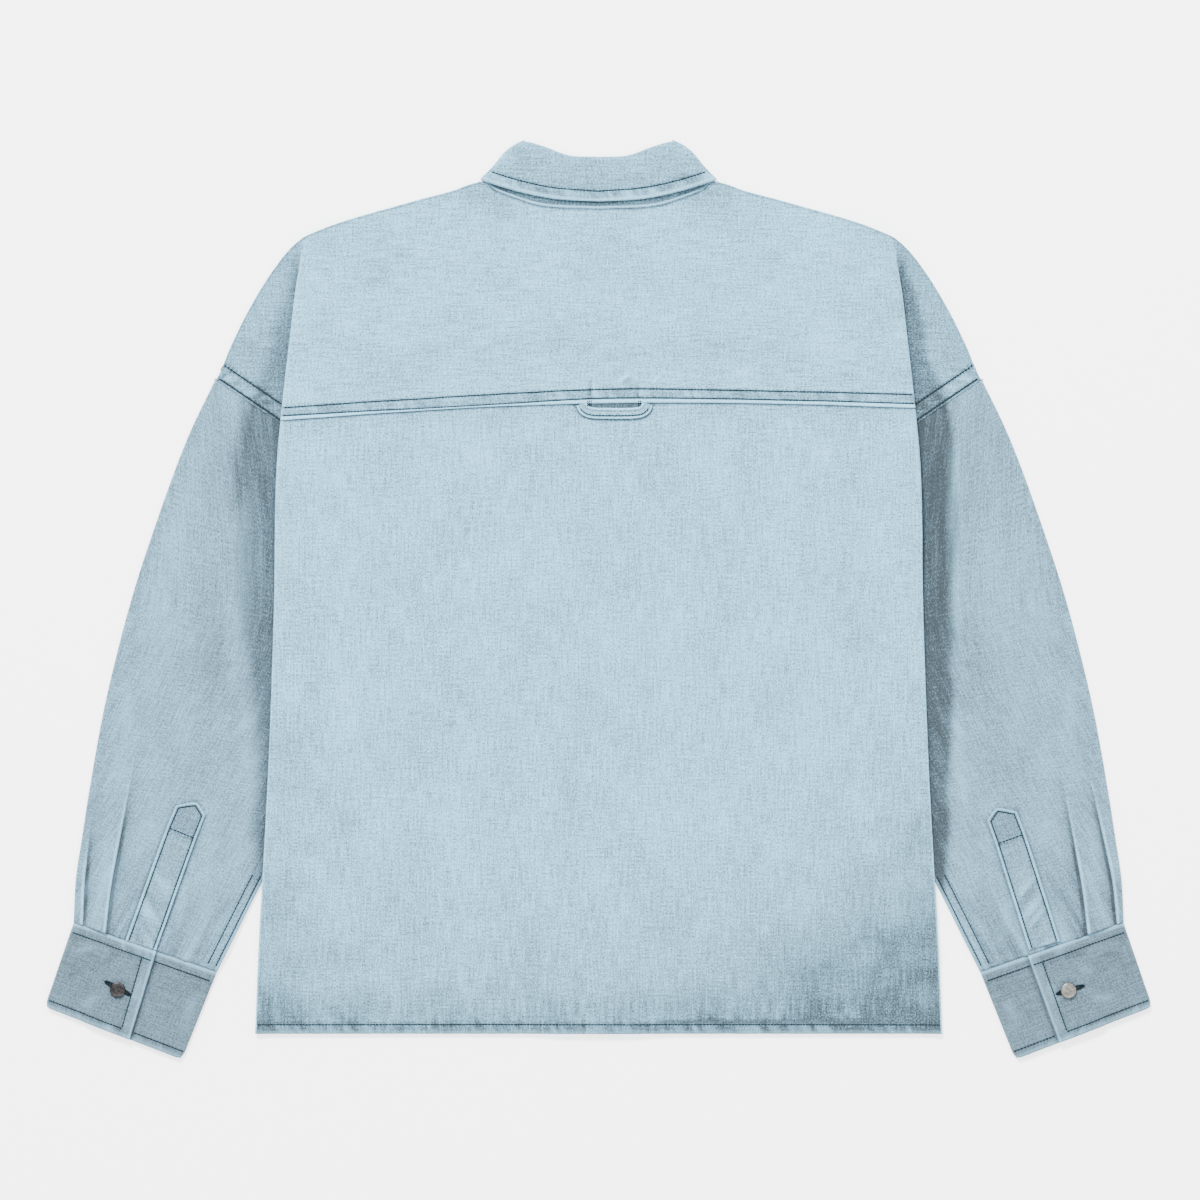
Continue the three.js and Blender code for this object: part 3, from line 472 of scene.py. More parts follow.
SLEEVE_CREASES = {
    -1: [
        (-297, 120, -311, -120, 9, 0.9), (-318, 60, -338, -120, 14, -0.7),
        (-352, 90, -377, -90, 16, 0.9), (-330, 150, -352, 40, 9, 0.6),
        (-308, 140, -305, 60, 7, -0.6), (-396, -60, -404, -190, 11, 0.9),
        (-374, -120, -386, -240, 10, 0.7), (-322, -150, -340, -280, 12, 0.8),
        (-302, -180, -312, -262, 8, 0.8), (-352, -230, -352, -292, 6, 0.8),
        (-410, -190, -421, -266, 6, 0.9), (-428, -150, -432, -250, 7, -0.6),
        (-340, -60, -360, -170, 12, 0.6), (-290, -60, -296, -220, 7, 0.7),
    ],
    1: [
        (300, 160, 302, -80, 6, 1.1), (302, -80, 312, -215, 6, 1.0),
        (289, 140, 290, -60, 6, -0.7), (330, 90, 344, -70, 13, 0.7),
        (358, 70, 378, -80, 14, 0.8), (322, 140, 340, 70, 8, 0.6),
        (394, -50, 404, -180, 10, 0.9), (374, -110, 384, -230, 9, 0.7),
        (326, -150, 332, -250, 11, 0.7), (306, -190, 318, -268, 8, 0.8),
        (346, -250, 340, -300, 6, 0.8), (416, -180, 424, -262, 6, 0.9),
        (348, -30, 362, -160, 13, 0.6),
    ],
}


def direction_of(start, end):
    """Length of a straight line and its direction."""
    (x0, y0), (x1, y1) = start, end
    length = math.hypot(x1 - x0, y1 - y0)
    return length, (x1 - x0) / length, (y1 - y0) / length


def beside_line(x, y, start, end):
    """Places along a line and to the left of it, and the line's length."""
    length, ux, uy = direction_of(start, end)
    x, y = x - start[0], y - start[1]
    return x * ux + y * uy, x * -uy + y * ux, length


def creases(table, x, y):
    """Height of listed troughs and ridges that fade at their ends."""
    total = np.zeros(np.shape(x))
    for x0, y0, x1, y1, width, height in table:
        along, sideways, length = beside_line(x, y, (x0, y0), (x1, y1))
        sideways += 0.22 * width * noise(along / 34, seed=int(abs(x0)) % 13)
        fade = ease(along / (0.3 * length)) * ease((length - along) / (0.4 * length))
        total += height * fade * bell(sideways, width)
    return total


def undulation(x, y, seed):
    """Low unevenness of washed cloth that lies on cloth."""
    wide = 0.30 * noise(x / 46, y / 62, seed) + 0.16 * noise(x / 19, y / 27, seed + 3)
    return wide + 0.07 * noise(x / 8, y / 10, seed + 5)


def roping(along, across, width, seed):
    """Puckers of a shrunken seam: slanting, uneven, in the band and fading beside it."""
    slant = along + 0.55 * across
    waves = noise(slant / 3.6, across / 22, seed) + 0.6 * noise(slant / 7.5, 0.3, seed + 2)
    return waves * bell(across, width)


def yoke_edge_relief(x, y):
    """Felled yoke seam on the yoke side: doubled cloth, twin stitch troughs and a worn ridge."""
    low = curve(YOKE_STITCH_LOW, x)
    high = curve(YOKE_STITCH_HIGH, x)
    seam = curve(YOKE_SEAM, x)
    middle = (low + high) / 2
    height = 0.75 * ease((high + 3.5 - y) / 5)
    height -= 0.42 * bells(y, (low, high), 0.9)
    height = height + 0.38 * roping(x, y - middle, 5.5, 1) + 0.12 * roping(x, y - high - 6, 7, 2)
    ridge = bell(y - (low + seam) / 2, 1.1)
    puckers = roping(x, y - middle, 3.4, 1)
    height += 0.4 * ridge
    wear = 0.62 * ridge + 0.28 * np.clip(puckers, -1, 1)
    # painted shade in the twin stitch troughs, along the seam's middle and in the puckers' hollows
    shade = 0.9 * bell(y - low, 1.0) + 0.85 * bell(y - high, 1.0)
    shade = shade + 0.30 * bell(y - middle, 3.2) + 0.22 * share(-puckers)
    return height, wear, shade


def loop_line(inset, count):
    """Points on the middle of the hanger loop, from inset after its first corner to its last."""
    keys = [(i, *place) for i, place in enumerate(LOOP_PATH)]
    t = np.linspace(inset, len(LOOP_PATH) - 1 - inset, count)
    return curve(keys, t, 1), curve(keys, t, 2), t


def loop_distance(x, y):
    """How far a place is from the middle of the hanger loop."""
    nearest = np.full(np.shape(x), FAR)
    for px, py, _ in zip(*loop_line(0, 60)):
        nearest = np.minimum(nearest, np.hypot(x - px, y - py))
    return nearest


def panel_relief(x, y):
    """Back panel: puckers under the yoke seam and a narrow double-turned hem."""
    seam = curve(YOKE_SEAM, x)
    height = 0.16 * roping(x, y - seam + 5, 7, 4)
    # painted shadow under the yoke's edge
    shade = 0.75 * bell(y - seam + 0.4, 1.0) + 0.10 * bell(y - seam + 5, 8)
    beside_loop = loop_distance(x, y) - LOOP_WIDTH / 2
    # painted shadow in the gap under the hanger loop and round its edge
    window = ease((x + 9) / 2) * ease((36 - x) / 2) * ease((y - 160.6) / 1.2)
    shade = shade + 0.7 * window + 0.75 * bell(beside_loop - 0.5, 1.3)
    band = ease((HEM_STITCH_Y + 1.5 - y) / 2.5)
    height = height + 0.7 * band - 0.4 * bell(y - HEM_STITCH_Y, 0.9)
    height += 0.34 * roping(x * 0.9, y - HEM_Y - 4, 6, 5)
    height += 0.30 * roping(x * 0.5, y - HEM_Y - 14, 12, 6)
    wear = 0.2 * bell(y - HEM_Y - 1.0, 1.4) + 0.3 * share(roping(x * 0.9, y - HEM_Y - 4, 4, 5))
    right = ease((x + 40) / 260)
    streaks = noise(x / 2.3, y / 13, 14) + 0.5 * noise(x / 5.2, y / 30, 15)
    shade += (0.14 + 0.22 * right) * ease((-215 - y) / 110) * (1 + 0.4 * noise(x / 30, y / 40, 16))
    shade += (0.26 + 0.12 * streaks) * ease((-318 - y) / 34)
    blotches = 1 + 0.5 * noise(x / 21, y / 16, 17)
    shade = shade + 0.17 * blotches * ease((x - 100) / 120) * ease((-150 - y) / 130) + 0.32 * band
    shade += 0.18 * blotches * ease((np.abs(x) - 205) / 60) * ease((-30 - y) / 150)
    # painted shade in the hem's stitch trough, the puckers' hollows and the gathered line above the hem,
    # with darker streaks towards the hem
    shade = shade + 0.22 * bell(y - HEM_STITCH_Y - 1.2, 1.8) + 0.07 * streaks * ease((-150 - y) / 160)
    shade += 0.22 * share(-roping(x * 0.5, y - HEM_Y - 14, 9, 6))
    gather = ease((x - 40) / 40) * ease((258 - x) / 50)
    shade += 0.42 * gather * bell(y - HEM_Y - 10.3, 1.8)
    # crease ridges are worn lighter; their troughs get painted shade
    worn = creases(BODY_CREASES, x, y)
    wear += 0.05 * share(worn)
    shade = np.minimum(shade + 0.09 * share(-worn), 0.86)
    return height, wear, shade


def armhole_relief(side, x, y, lap):
    """Twin-stitched armhole seam, the shoulder's cloth over the sleeve's."""
    along, above, _ = beside_line(x, y, *ARMHOLE)
    height = lap * ease((16 - above) / 4)
    height -= 0.4 * bells(above, ARMHOLE_STITCHES, 0.9)
    height += 0.40 * roping(along, above - 7, 5.5, 8 + side)
    height += 0.2 * roping(along, above + 7, 8, 11 + side)
    puckers = roping(along, above - 7, 3.6, 8 + side)
    wear = 0.30 * share(puckers)
    # painted shade in the stitch troughs and the puckers' hollows
    shade = 0.9 * bells(above, ARMHOLE_STITCHES, 1.1)
    shade += 0.5 * share(-puckers)
    shade += 0.25 * share(-roping(along, above + 6, 6, 11 + side))
    return height, wear, shade


# Outer edge of the painted shade on the sleeve beside the body, its depth and how soft it ends
BAND_EDGE = {
    -1: [
        (-330, 287), (-240, 289), (-180, 291), (-120, 292), (-60, 296), (0, 304), (60, 307),
        (120, 306), (160, 298), (200, 280), (240, 271), (300, 254),
    ],
    1: [
        (-330, 288), (-240, 293), (-180, 296), (-120, 299), (0, 300), (120, 301), (160, 296),
        (200, 280), (240, 271), (300, 254),
    ],
}
# depth and softness of the painted shade beside the body, for each side
BAND_SHADOW = {-1: (0.72, 8), 1: (0.88, 4)}


def band_shade(side, x, y):
    """Painted shade on the sleeve where it dips under the body's side edge."""
    depth, soft = BAND_SHADOW[side]
    edge = curve(BAND_EDGE[side], y) + 2.5 * noise(y / 26, 0.5, 6 + side)
    inside = ease((edge + soft - x) / (2 * soft))
    ends = ease((y + 350) / 60) * ease((304 - y) / 30)
    streaks = 0.05 * noise(x / 2.6, y / 20, 12)
    return ends * inside * (depth + streaks + 0.12 * bell(x - body_edge(y), 5))


# Body: back yoke, back panel and the two fronts
def shoulder_rows(side, rows, top, start_x, across, fold_segments, bottom_columns, lap):
    """Grid above the yoke seam: over the shoulder, down the pleat and out to the armhole."""
    grid = []
    seam_x = body_edge(yoke_seam(side, YOKE_END_X)) - PLEAT_RADIUS - EDGE_INSET
    low_y = yoke_seam(side, seam_x)
    high_y = inset_top(top, 243)
    for v in rows:
        outer_y = mix(low_y, high_y, v)
        outer_x = body_edge(outer_y) - PLEAT_RADIUS - EDGE_INSET
        inner_y = curve(PLEAT_INNER_Y, v)
        inner_x = curve(PLEAT_INNER_X, v)
        x = mix(start_x, outer_x, across[:-1])
        y = mix(yoke_seam(side, x) + SEAM_GAP / 2, inset_top(top, x), v)
        z = REST_MIDDLE + lift(x, y)
        s, fold_z = fold_points(
            outer_x, REST_MIDDLE + PLEAT_LIFT, inner_x, REST_MIDDLE, PLEAT_RADIUS, fold_segments
        )
        run = inner_x - outer_x
        slope = ease(run / PLEAT_SPREAD) * (inner_y - outer_y) / max(run, PLEAT_RADIUS)
        first = np.arange(len(s)) <= fold_segments
        fold_y = np.where(first, outer_y + slope * (s - outer_x), inner_y + slope * (s - inner_x))
        way = np.linspace(0, 1, len(s))
        opened = ease((run - 2) / 10)
        s = mix(s, outer_x + run * way, opened)
        high_z, low_z = REST_MIDDLE + PLEAT_LIFT, REST_MIDDLE
        fold_z = mix(fold_z, high_z + (low_z - high_z) * ease(way), opened)
        chord = mix(high_y, inset_top(top, inner_x), way)
        arch = np.maximum(inset_top(top, s) - chord, 0) * ease((v - 0.8) / 0.2)
        fold_y = mix(fold_y, mix(outer_y, inner_y, way) + arch, opened)
        q = np.linspace(0, 1, bottom_columns + 1)[1:]
        bx = mix(inner_x, mix(ARMHOLE_X, SHOULDER_END_X, v), q)
        by = mix(armhole(bx) - lap, inset_top(top, bx), v)
        bz = np.full(len(bx), REST_MIDDLE)
        row = np.stack([
            side * np.concatenate([x, s, bx]),
            np.concatenate([y, fold_y, by]),
            np.concatenate([z, fold_z, bz]),
        ], -1)
        grid.append(row)
    return np.array(grid)


def shoulder_stations(below, within, above):
    """Rows from the yoke seam up, close together where the pleat opens."""
    opens = np.linspace(PLEAT_OPENS[0] + 0.012, PLEAT_OPENS[1], within)
    return np.concatenate([below, opens, np.linspace(PLEAT_OPENS[1] + 0.012, 1, above)])


def both_halves(half):
    """A grid from the left edge to the right one, from two grids that start in the middle."""
    return np.concatenate([half(-1)[:, :0:-1], half(1)], axis=1)


def shoulder_puff(x, y, z):
    on_top = z > REST_MIDDLE + lift(x, y) - CLOTH
    return np.where(x > body_edge(y), sleeve_puff(x, y), np.where(on_top, body_puff(x, y), 0))


def make_yoke():
    below = dense(0, PLEAT_OPENS[0] * YOKE_LENGTH, 4.4, marks=(4, 18), near=6, fine=1.0)
    rows = shoulder_stations(below / YOKE_LENGTH, 12, 20)
    across = np.concatenate([np.linspace(0, 0.2, 46)[:-1], np.linspace(0.2, 1, 112)])
    middle = both_halves(lambda side: shoulder_rows(side, rows, BACK_TOP, 0, across, 8, 30, YOKE_LAP))
    points = middle + normals_of(middle) * HALF_PITCH
    x, y, z = points[..., 0], points[..., 1], middle[..., 2]
    ax = np.abs(x)
    points[..., 2] += shoulder_puff(ax, y, z)
    on_top = (z > REST_MIDDLE + lift(ax, y) - CLOTH) & (ax < body_edge(y) + 1)
    outside = ax > body_edge(y) - 1.5
    top = ease((330 - y) / 30) * ease((body_edge(y) - 3 - ax) / 8)
    edge_h, edge_wear, edge_shade = yoke_edge_relief(x, y)
    worn = creases(BODY_CREASES, x, y)
    near_loop = creases(LOOP_CREASES, x, y)
    body = top * (worn + near_loop + undulation(x, y, 21))
    body += edge_h
    # crease ridges are worn lighter; crease troughs here and round the hanger loop get painted shade
    edge_wear = edge_wear + 0.75 * share(near_loop) + 0.05 * share(worn)
    edge_shade = edge_shade + 0.8 * share(-near_loop) + 0.09 * share(-worn)
    wear = np.where(on_top, edge_wear, 0)
    shade = np.where(on_top, edge_shade, 0)
    shoulder = np.zeros(x.shape)
    for side in (-1, 1):
        mine = (x * side > 0) & outside & ~on_top
        height, arm_wear, arm_shade = armhole_relief(side, ax, y, 0.7)
        rim = ease((outer_at(y) - 5 - ax) / 9)
        soft = rim * (creases(SLEEVE_CREASES[side], x, y) + undulation(x, y, 31))
        shoulder = np.where(mine, height * ease((outer_at(y) - ax + 1) / 4) + soft, shoulder)
        wear = np.where(mine, arm_wear, wear)
        # plain darker tone of the shoulder, with painted shade in the seam's troughs and hollows and beside
        # the body's edge
        shade = np.where(mine, arm_shade + 0.34 + band_shade(side, ax, y) * 0.5, shade)
    points[..., 2] += np.where(on_top, body, np.where(outside, shoulder, 0))
    points[..., 0] += np.sign(x) * 1.6 * bell(np.hypot(ax - 322, y - 188.5), 4.2)
    # the fold of the pleat is worn on its edge
    fold = bell(ax - body_edge(y) + 0.6, 1.0) * (z > 4)
    wear += 0.35 * fold * ease((300 - y) / 20)
    # painted shade in the groove along the neck edge, and a darker band below the neck towards the
    # shoulders
    neck = y - curve(BACK_TOP, ax)
    shade += 0.7 * bell(neck + 0.5, 0.8) * ease((104 - ax) / 8)
    shade += 0.22 * bell(neck + 6, 16) * ease((ax - 66) / 20) * ease((122 - ax) / 14)
    normals = normals_of(points)
    points, normals = roll_top(points, normals, points, normals, HALF_PITCH)
    extend = lambda a: np.concatenate([a, np.repeat(a[-1:], 4, axis=0)])
    piece = cloth_piece(
        "yoke_cloth", points, normals, CLOTH, (points[..., 1], points[..., 0]),
        extend(wear), extend(shade),
    )
    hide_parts("back_yoke")
    return piece


def edge_radius(y):
    """The panel's side edge turns under, wider towards the pleat of the shoulder."""
    return HALF_PITCH + PLEAT_RADIUS * ease((y - 60) / 80)


def make_back_panel():
    height = 166 - HEM_Y
    low_part = dense(0, height - 20, 6, marks=(6,), near=14, fine=1.3)
    rows = np.concatenate([low_part[:-1], np.linspace(height - 20, height, 21)]) / height
    across = np.concatenate([np.linspace(0, 0.18, 46)[:-1], np.linspace(0.18, 1, 110)])

    def half(side):
        grid = []
        for w in rows:
            edge_y = mix(HEM_Y, yoke_seam(side, YOKE_END_X), w)
            fold_x = body_edge(edge_y) - edge_radius(edge_y) - CLOTH / 2
            x = fold_x * across
            y = mix(HEM_Y, yoke_seam(side, x) - SEAM_GAP / 2, w)
            grid.append(np.stack([side * x, y, REST_MIDDLE + lift(x, y)], -1))
        return np.array(grid)

    middle = both_halves(half)
    points = middle + normals_of(middle) * HALF_PITCH
    x, y = points[..., 0], points[..., 1]
    ax = np.abs(x)
    height_map, wear, shade = panel_relief(x, y)
    soft = creases(BODY_CREASES, x, y) + undulation(x, y, 21)
    soft = soft * ease((body_edge(y) - 3 - ax) / 9) * ease((y - HEM_Y + 1) / 10)
    points[..., 2] += body_puff(ax, y) + soft + height_map
    normals = normals_of(points)
    parts = [(points, normals, wear, shade)]
    for side in (-1, 1):
        edge = points[:, 0 if side < 0 else -1]
        radius = edge_radius(edge[:, 1])
        slope = (edge[:, 1] - PLEAT_INNER_Y[0][1]) / (np.abs(edge[:, 0]) - PLEAT_INNER_X[0][1])
        slant = (slope + 0.1) * ease((rows - 0.85) / 0.15)
        centre = edge - np.stack([np.zeros(len(rows)), 0.6 * slant, radius], -1)
        strip, strip_n = [], []
        for degrees in range(15, 181, 15):
            a = math.radians(degrees)
            n = np.tile([side * math.sin(a), 0, math.cos(a)], (len(rows), 1))
            strip.append(centre + n * radius[:, None])
            strip_n.append(n)
        for q in (0.12, 0.25, 0.4, 0.6, 0.8, 1):
            inward = q * (TURNED_UNDER - radius - CLOTH / 2)
            point = centre + np.stack([-side * inward, -slant * inward, -radius], -1)
            above = REST_MIDDLE + lift(np.abs(point[:, 0]), point[:, 1]) + HALF_PITCH
            point[:, 2] = np.minimum(point[:, 2], above - 2 * radius)
            strip.append(point)
            strip_n.append(np.tile([0, 0, -1.0], (len(rows), 1)))
        strip = np.stack(strip, 1)
        strip_n = np.stack(strip_n, 1)
        rim = np.zeros(strip.shape[:2])
        rim[:, :6] = 0.25
        hem = bell(strip[..., 1] - HEM_Y - 1, 2)
        block = (strip, strip_n, rim + 0.2 * hem, 0.15 + 0.2 * hem)
        if side < 0:
            parts.insert(0, tuple(a[:, ::-1] for a in block))
        else:
            parts.append(block)
    points, normals, wear, shade = (np.concatenate(a, axis=1) for a in zip(*parts))
    piece = cloth_piece(
        "back_panel_cloth", points, normals, CLOTH, (points[..., 0], points[..., 1]),
        wear, shade,
    )
    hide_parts("back_panel")
    return piece


def make_front(side, name):
    """Front half: below the armhole to the side seam, above it the shoulder pleat is in it."""
    low_rows = dense(0, 0.998, 0.02, marks=(0.01,), near=0.02, fine=0.004)[:-1]
    high_rows = shoulder_stations(np.linspace(0, PLEAT_OPENS[0], 34), 10, 12)
    start_x = PLACKET_HALF + SEAM_GAP
    top_columns, segments, bottom_columns = 84, 6, 20
    across = np.linspace(0, 1, top_columns + 1)
    high = shoulder_rows(
        side, high_rows, FRONT_TOP, start_x, across, segments, bottom_columns, -SEAM_GAP / 2
    )
    low = []
    for w in low_rows:
        edge_y = mix(HEM_Y, yoke_seam(side, YOKE_END_X), w)
        end_x = body_edge(edge_y) - TURNED_UNDER - 3 * SEAM_GAP
        x = np.linspace(start_x, end_x, top_columns + 1)
        y = mix(HEM_Y, yoke_seam(side, x), w)
        row = np.stack([side * x, y, REST_MIDDLE + lift(x, y)], -1)
        low.append(np.concatenate([row, high[0, top_columns + 1:]]))
    low = np.array(low)
    # under the armhole the columns drift to those above the seam
    drift = ease((low_rows - 0.94) / 0.06)[:, None]
    low[:, :top_columns + 1, 0] = mix(low[:, :top_columns + 1, 0], high[0, :top_columns + 1, 0], drift)
    middle = np.concatenate([low, high])
    normals = normals_of(middle)
    count = len(low_rows)
    normals[count:, top_columns + 1:] = normals_of(high)[:, top_columns + 1:]
    if side < 0:
        normals = -normals
    points = middle - normals * HALF_PITCH
    rolled, rolled_n = roll_top(points, normals, middle, normals, -HALF_PITCH)
    has = np.ones((rolled.shape[0] - 1, rolled.shape[1] - 1), bool)
    has[:count, top_columns:] = False
    x, y = rolled[..., 0], rolled[..., 1]
    wear = 0.7 * bell(y - HEM_Y - 1, 2) + 0.25 * share(roping(x, y - HEM_Y - 4, 4, 5))
    # painted shade in the hem's stitch trough, with a little random tone
    shade = 0.2 * bell(y - HEM_Y - 8, 2) + 0.08 * (noise(x / 40, y / 60, 9) + 1)
    piece = cloth_piece(name + "_cloth", rolled, rolled_n, CLOTH, (x, y), wear, shade, has=has)
    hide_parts(name)
    return piece


def make_front_placket():
    w = dense(0, 1, 0.01, marks=(0.0,), near=0.02, fine=0.003)
    q = np.linspace(-1, 1, 29)
    x = np.tile(q * PLACKET_HALF, (len(w), 1))
    ax = np.abs(x)
    y = mix(HEM_Y, inset_top(FRONT_TOP, ax), w[:, None])
    puckers = 0.14 * (roping(y, x - 11, 4, 41) + roping(y, x + 11, 4, 43))
    z = REST_MIDDLE - HALF_PITCH + lift(ax, y) + np.clip(puckers, -0.1, 0.3)
    points = np.stack([x, y, z], -1)
    normals = normals_of(points)
    wear = 0.5 * bell(ax - PLACKET_HALF + 0.8, 1.6) + 0.3 * share(puckers * 5)
    # painted shade in the stitch troughs
    shade = 0.25 * bell(ax - 10.5, 1.2)
    piece = cloth_piece("front_placket_cloth", points, normals, CLOTH, (x, y), wear, shade)
    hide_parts("front_placket")
    return piece


# Sleeves: columns on both sides of a pleat's edge, and how far its raised cloth reaches
PLEAT_STEPS = np.array([
    6, 4.4, 3, 2, 1.3, 0.8, 0.45, 0.2, -0.05, -0.3, -0.6, -1, -1.7, -3, -4.4, -6,
])
PLEAT_REACH = (26, 13)


def sleeve_section(side, v):
    """Points round the sleeve at one station: under side, outer rim, pleats, inner rim.

    Gives x, y, z, the length s across the sleeve, its width, which points are on the upper
    side, and for both pleats how strong they still are and where across their edges lie.
    """
    ix, iy, ox, oy = (float(curve(SLEEVE_ROWS, v, k)) for k in (1, 2, 3, 4))
    width = math.hypot(ox - ix, oy - iy)
    pleats = SLEEVE_PLEATS[side]
    fades = np.array([float(ease(1 - v / pleat[2])) for pleat in pleats])
    lines = [mix(p[0], p[1], min(v / p[2], 1)) * width for p in pleats]
    low, high = REST_MIDDLE - HALF_PITCH, REST_MIDDLE + HALF_PITCH

    def raised(s):
        s = np.asarray(s, float)
        total = np.zeros(s.shape)
        for line, fade, reach in zip(lines, fades, PLEAT_REACH):
            beyond = np.maximum(s - line, 0)
            total += 2.0 * min(fade * 2, 1) * ease((s - line + 0.3) / 0.6) * np.exp(-beyond / reach)
        return total

    start = EDGE_INSET
    rim = (high + float(raised(width - 3)) - low) / 2
    end = width - rim - CLOTH / 2
    under = np.linspace(start, end, 26)
    a = np.radians(np.arange(20, 161, 20))
    room = min(6, 0.9 * (end - lines[1])) / 6
    spread = np.where(PLEAT_STEPS > 0, PLEAT_STEPS * room, PLEAT_STEPS)
    outer, inner = lines[1] + spread, lines[0] + PLEAT_STEPS
    top = np.concatenate([
        np.linspace(end, outer[0], 5)[:-1], outer, np.linspace(outer[-1], inner[0], 8)[1:-1],
        inner, np.linspace(inner[-1], start, 80)[1:],
    ])
    s = np.concatenate([under, end + rim * np.sin(a), top, start - HALF_PITCH * np.sin(a)])
    z = np.concatenate([
        np.full(len(under), low), low + rim * (1 - np.cos(a)), high + raised(top),
        REST_MIDDLE + HALF_PITCH * np.cos(a),
    ])
    x = ix + (ox - ix) / width * s
    y = iy + (oy - iy) / width * s
    upper = np.zeros(len(s), bool)
    first = len(under) + len(a) // 2
    upper[first:first + len(top) + 6] = True
    return x, y, z, s, np.full(len(s), width), upper, [*fades, *lines]


def make_sleeve(side, name):
    # stations along the sleeve, dense at the cuff where the pleats and gathers are
    stations = np.concatenate([
        np.linspace(0.002, 0.03, 8), np.linspace(0.033, 0.09, 22), np.linspace(0.096, 0.30, 34),
        np.linspace(0.31, 0.9, 50), np.linspace(0.91, 0.9985, 12),
    ])
    rows = [sleeve_section(side, v) for v in stations]
    x, y, z, s, width, upper = (np.array([row[k] for row in rows]) for k in range(6))
    v = stations[:, None]
    rim = ease((width - 4 - s) / 9) * ease((s - 3) / 8)
    beside = ease((x - body_edge(y) - 1) / 14)
    worn = creases(SLEEVE_CREASES[side], side * x, y)
    soft = 2.0 * worn + undulation(side * x, y, 31)
    near = ease((0.17 - v) / 0.17)
    gathers = near * (0.8 * noise(s / 6.2, v * 3, 51 + side) + 0.35 * noise(s / 2.9, v * 5, 55))
    under = ease((0.62 - v) / 0.3)
    seam = 0.5 * under * ease((11.5 - s) / 2)
    seam -= 0.4 * under * (bell(s - 10, 0.9) + bell(s - 3.2, 0.8))
    length = np.concatenate([[0], np.cumsum(np.hypot(np.diff(x[:, 4]), np.diff(y[:, 4])))])[:, None]
    seam += 0.25 * under * roping(length, s - 6.5, 5, 61 + side)
    arm_height, arm_wear, arm_shade = armhole_relief(side, x, y, 0)
    arm = ease((v - 0.8) / 0.1)
    top = sleeve_puff(x, y) + rim * beside * soft + rim * gathers + np.clip(seam, -0.3, 1.4)
    hidden = x < body_edge(y) - 4
    top = np.where(hidden, np.minimum(top, 0.2), top + arm_height * arm * rim)
    points = np.stack([side * x, y, z + np.where(upper, top, 0)], -1)
    normals = normals_of(points, closed=True)
    wear = 0.22 * share(gathers) + 0.30 * under * bell(s - 1.2, 1.2) + arm_wear * arm
    # painted shade beside the body's edge and in the gathers' hollows, a little darker towards the cuff
    shade = band_shade(side, x, y) + 0.3 * share(-gathers * 1.6) + 0.08 * near
    # painted shade in the underarm stitch troughs and along the armhole seam
    shade = shade + 0.35 * under * (bell(s - 10.6, 1.1) + bell(s - 3.2, 0.8)) + arm_shade * arm
    shade = shade + 0.10 * noise(s / 2.4, length / 22, 18) + 0.08 * noise(s / 9, length / 60, 19)
    # crease ridges are worn lighter; their troughs get painted shade
    wear += 0.13 * share(worn)
    shade += 0.30 * share(-worn)
    down_it, sideways, _ = beside_line(x, y, *SLEEVE_PLACKETS[side])
    left, right = curve(PLACKET_SIDES, down_it, 1), curve(PLACKET_SIDES, down_it, 2)
    tip = curve(PLACKET_TIP, (sideways - left) / (right - left))
    outside = np.maximum(np.maximum(left - sideways, sideways - right), tip - down_it)
    # painted shadow round the edge of the sleeve placket
    shade += 0.6 * bell(outside - 0.9, 1.1) * (outside > 0)
    folds = np.array([row[6] for row in rows])
    # each pleat's fold edge is worn lighter, and the cloth just inside it gets painted shadow
    for k in (0, 1):
        strong = np.minimum(folds[:, k:k + 1] * 1.6, 1)
        out = s - folds[:, 2 + k:3 + k]
        wear += 0.5 * strong * bell(out - 0.9, 0.9)
        dark = (0.5 + 0.5 * ease(v / 0.05)) * 0.85 * ease((out + 4.8) / 3)
        shade += strong * (out < 0.1) * (dark + 0.4 * ease((out + 13) / 12))
    grain = (np.where(upper, s, -s), np.broadcast_to(length, s.shape))
    wear, shade = np.where(upper, wear, 0), np.where(upper, shade, 0.12)
    piece = cloth_piece(
        name + "_cloth", points, normals, CLOTH, grain, wear, shade, closed=True
    )
    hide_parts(name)
    return piece


# Cuffs
def cuff_point(across, down):
    """A place on the cuff, from 0 to 1 across it and from 0 to 1 down it."""
    (x0, y0), (x1, y1) = CUFF_TOP
    (x2, y2), (x3, y3) = CUFF_BOTTOM
    tx, ty = mix(x0, x1, across), mix(y0, y1, across)
    bx, by = mix(x2, x3, across), mix(y2, y3, across)
    return mix(tx, bx, down), mix(ty, by, down)


